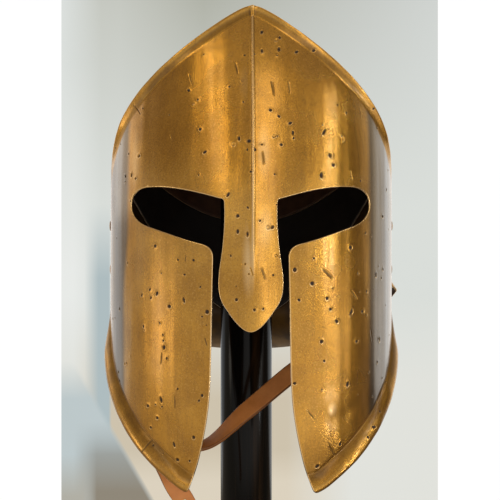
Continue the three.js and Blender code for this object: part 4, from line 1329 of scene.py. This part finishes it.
# Stand
cap_top = MID_Z + CAP["top_h"]
cap_curve = [(CAP["radius"] * s, cap_top - CAP["drop"] * s**2) for s in np.linspace(1, 0, 12)]
cap_low = cap_top - CAP["thick"]
base_rows = [
    (0, 0), (BASE["radius"], 0), (BASE["radius"], BASE["thick"] - BASE["edge"]),
    (BASE["radius"] - BASE["edge"], BASE["thick"]), (0, BASE["thick"]),
]
base_profile = rounded_profile(base_rows, BASE["round"])
post_low, post_high = BASE["thick"] + GAP, cap_low - GAP
post_rows = [(0, post_low), (POST["radius"], post_low), (POST["radius"], post_high), (0, post_high)]
post_profile = rounded_profile(post_rows, POST["round"])
cap_rows = [(0, cap_low), (CAP["under_radius"], cap_low), *cap_curve]
cap_profile = rounded_profile(cap_rows, CAP["round"], steps=2)
for name, profile, centre in (
    ("stand_base", base_profile, (0, 0, 0)),
    ("stand_post", post_profile, (POST["x"], POST["y"], 0)),
    ("stand_cap", cap_profile, (POST["x"], POST["y"], 0)),
):
    points, faces = lathe(profile, segments=160)
    piece = make_object(f"{name}_fine", points + np.array(centre), faces, lacquer)
    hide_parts(name)


# Stage
CAMERA = (-0.008, -0.796, 0.290)
# The camera's turn to the right: the ridge is 8 mm to its right at 650 mm and stands 3 pixels right of the
# middle of a picture whose focal length is 928 pixels
YAW = math.atan(8 / 650) - math.atan(3 / 928)
# Where the picture's white side bars start and are full, as shares of the distance
WHITE_BARS = (0.2026, 0.2031)
# The backdrop in metres
COVE = {"half_width": 4.5, "front": -3.0, "flat_to": 2.4, "bend": 0.8, "height": 4.5}


def cove_material():
    """The room behind, with its light and shade painted on the glowing backdrop by how far a point lies to
    the side and up per distance.
    """
    mat, tree, shader = new_material("pale_room")
    parts = add_node(tree, "ShaderNodeSeparateXYZ", {0: object_place(tree, (1, 1, 1))})
    reach = maths(tree, "SUBTRACT", parts.outputs["Y"], CAMERA[1])
    across = maths(tree, "DIVIDE", maths(tree, "SUBTRACT", parts.outputs["X"], CAMERA[0]), reach)
    across = maths(tree, "SUBTRACT", across, YAW)
    up = maths(tree, "DIVIDE", maths(tree, "SUBTRACT", parts.outputs["Z"], CAMERA[2]), reach)

    def edge(a, b, start, end):
        """Share, 0 to 1, across a line where a * across + b * up runs from start to end."""
        value = maths(tree, "ADD", maths(tree, "MULTIPLY", across, a), maths(tree, "MULTIPLY", up, b))
        return ramp(tree, value, start, end)

    def painted(base, rows):
        """A tone with each row's tone laid over it where all of that row's edges are passed."""
        for tone, *edges in rows:
            mask = edge(*edges[0])
            for row in edges[1:]:
                mask = maths(tree, "MULTIPLY", mask, edge(*row))
            base = blend(tree, mask, base, tone)
        return base

    # Painted light and shade of the room: paler and darker patches, painted shadows low on the left, and
    # white side bars
    shade = [(-1, -0.57, 0.256, 0.263), (0, -1, 0.12, 0.16)]
    top = painted((0.43, 0.44, 0.385), [
        ((0.615, 0.64, 0.62), (1, 0, -0.05, 0.20)),
        ((0.55, 0.565, 0.52), (-1, 0, 0.05, 0.14)),
        ((0.69, 0.72, 0.70), (-1, 0, 0.16, 0.20)),
    ])
    cream = painted((0.60, 0.53, 0.41), [((0.70, 0.63, 0.51), (0, -1, 0.215, 0.25))])
    low_shade = painted((0.36, 0.40, 0.40), [((0.27, 0.24, 0.19), (0, -1, 0.20, 0.26))])
    colour = painted((0.69, 0.72, 0.69), [
        (top, (0, 1, 0.04, 0.27)),
        ((0.80, 0.82, 0.80), (-1, 0, 0.16, 0.19), (0, -1, -0.2, 0.02)),
        ((0.74, 0.75, 0.71), (0, -1, 0.05, 0.14)),
        (cream, (0, -1, 0.06, 0.16), (-1, 0, -0.11, -0.04), (1, 0, -0.19, -0.15)),
        ((0.42, 0.50, 0.52), (-1, 0, 0.149, 0.152), (1, 0, -0.178, -0.163), (0, -1, -0.05, 0.03)),
        ((0.50, 0.57, 0.585), *shade),
        (low_shade, *shade, (0, -1, 0.185, 0.22), (1, 0, -0.19, -0.165)),
        ((0.43, 0.42, 0.37), (0, -1, 0.22, 0.265), (-1, 0, 0.165, 0.18)),
        ((1.0, 1.0, 1.0), (-1, 0, *WHITE_BARS)),
        ((1.0, 1.0, 1.0), (1, 0, *WHITE_BARS)),
        ((0.62, 0.64, 0.66), (-1, 0, 0.29, 0.34)),
        ((0.92, 0.96, 0.98), (1, 0, 0.29, 0.34)),
    ])
    # Dim room tones painted out of the camera's view, a painted reflection for the brass
    sides = blend(tree, ramp(tree, parts.outputs["X"], -0.2, 0.2), (0.36, 0.31, 0.24), (0.14, 0.11, 0.08))
    aside = maths(tree, "MULTIPLY", maths(tree, "ABSOLUTE", parts.outputs["X"]), 0.3)
    aside = maths(tree, "SUBTRACT", parts.outputs["Y"], aside)
    colour = blend(tree, ramp(tree, aside, 0.19, 0.11), colour, sides)
    front = blend(tree, ramp(tree, parts.outputs["X"], -0.5, 0.5), (0.54, 0.51, 0.48), (0.84, 0.80, 0.75))
    colour = blend(tree, ramp(tree, parts.outputs["Y"], -0.20, -0.36), colour, front)
    set_inputs(tree, shader, {
        "Emission Color": colour,
        "Emission Strength": 0.94,
        "Base Color": blend(tree, 0.85, colour, (0.0, 0.0, 0.0)),
        "Roughness": 0.9,
        "Specular IOR Level": 0.0,
    })
    return mat


cove_turns = np.linspace(0, math.pi / 2, 13)
bend = [(COVE["flat_to"] + COVE["bend"] * math.sin(t), COVE["bend"] * (1 - math.cos(t))) for t in cove_turns]
cove_profile = [(COVE["front"], 0), *bend, (COVE["flat_to"] + COVE["bend"], COVE["height"])]
cove_vertices = [(side * COVE["half_width"], y, z) for y, z in cove_profile for side in (-1, 1)]
cove_faces = [(2 * i, 2 * i + 1, 2 * i + 3, 2 * i + 2) for i in range(len(cove_profile) - 1)]
cove_mesh = bpy.data.meshes.new("cove")
cove_mesh.from_pydata(cove_vertices, [], cove_faces)
cove_mesh.shade_smooth()
cove_mesh.materials.append(cove_material())
cove = add_object("cove", cove_mesh)

LIGHT_CENTRE = Vector((-0.008, -0.110, 0.290))
LIGHT_REACH = 1.6


def direction(azimuth, elevation):
    az, el = math.radians(azimuth), math.radians(elevation)
    return Vector((math.sin(az) * math.cos(el), -math.cos(az) * math.cos(el), math.sin(el)))


def strip_light(name, start, end, width, radiance, colour, reach=LIGHT_REACH):
    """A flat light whose ends stand at two (azimuth, elevation) directions from the helmet."""
    first, last = direction(*start) * reach, direction(*end) * reach
    middle = (first + last) / 2
    data = bpy.data.lights.new(name, "AREA")
    data.shape = "RECTANGLE"
    data.size = (last - first).length
    data.size_y = 2 * reach * math.tan(math.radians(width) / 2)
    data.color = colour
    data.energy = radiance * math.pi * data.size * data.size_y
    away = middle.normalized()
    side = (last - first).normalized()
    across = away.cross(side).normalized()
    side = across.cross(away)
    light = add_object(name, data)
    turn = Matrix((side, across, away)).transposed().to_4x4()
    light.matrix_world = Matrix.Translation(LIGHT_CENTRE + middle) @ turn
    light.visible_camera = False


WARM = (1.0, 0.90, 0.72)
LAMP = (1.0, 0.84, 0.48)
DAY = (0.95, 0.99, 1.0)
ROOM = (1.0, 0.95, 0.86)
strip_light("left_streak", (-60, 52), (-37, 12), 5, 2.8, LAMP)
strip_light("left_patch", (-142, 15), (-106, 15), 24, 0.6, ROOM)
strip_light("right_streak", (82, 32), (68, 10), 1.4, 7.5, DAY)
strip_light("right_halo", (77, 34), (62, 4), 7, 0.7, WARM)
strip_light("right_spot", (69, -4), (68, 6), 2.4, 15.0, DAY)
strip_light("front_glow", (21, -8), (34, 46), 13, 1.3, WARM)
strip_light("left_glow", (-84, -16), (-80, -3), 12, 1.8, WARM, 0.95)
strip_light("right_glint", (72.3, -26), (72.3, -23), 2.5, 22.0, DAY, 0.6)
strip_light("right_low", (77, -15), (74, -4), 5, 1.2, WARM, 0.95)

world = bpy.data.worlds.new("room")
bpy.context.scene.world = world
world.use_nodes = True
sky = world.node_tree
background = sky.nodes["Background"]
where = add_node(sky, "ShaderNodeSeparateXYZ", {0: add_node(sky, "ShaderNodeTexCoord").outputs["Generated"]})
azimuth = maths(sky, "ARCTAN2", where.outputs["X"], maths(sky, "MULTIPLY", where.outputs["Y"], -1.0))
elevation = maths(sky, "ARCSINE", where.outputs["Z"])


def between(value, start, end):
    """Share of the way from one angle to another, in degrees."""
    return ramp(sky, value, math.radians(start), math.radians(end))


# The room's light all round, by direction from the front
room = blend(sky, between(elevation, 8, 18), (0.55, 0.56, 0.60), (0.36, 0.32, 0.27))
dim_left = maths(sky, "MULTIPLY", between(azimuth, -52, -66), between(elevation, 6, 14))
room = blend(sky, dim_left, room, (0.25, 0.21, 0.17))
room = blend(sky, between(azimuth, 76, 84), room, (0.11, 0.085, 0.06))
behind_left = blend(sky, between(azimuth, -136, -144), (0.32, 0.26, 0.20), (1.0, 1.03, 0.95))
room = blend(sky, between(azimuth, -104, -108), room, behind_left)
room = blend(sky, between(azimuth, 98, 119), room, (0.76, 0.71, 0.58))
set_inputs(sky, background, {"Color": room, "Strength": 1.0})

# Camera
camera_data = bpy.data.cameras.new("photo_camera")
camera_data.sensor_width = 36
camera_data.lens = 66.82
camera_data.clip_end = 30
camera = add_object("photo_camera", camera_data)
camera.location = CAMERA
camera.rotation_euler = (math.radians(90), 0, -YAW)
bpy.context.scene.camera = camera
bpy.context.scene.view_settings.view_transform = "Standard"
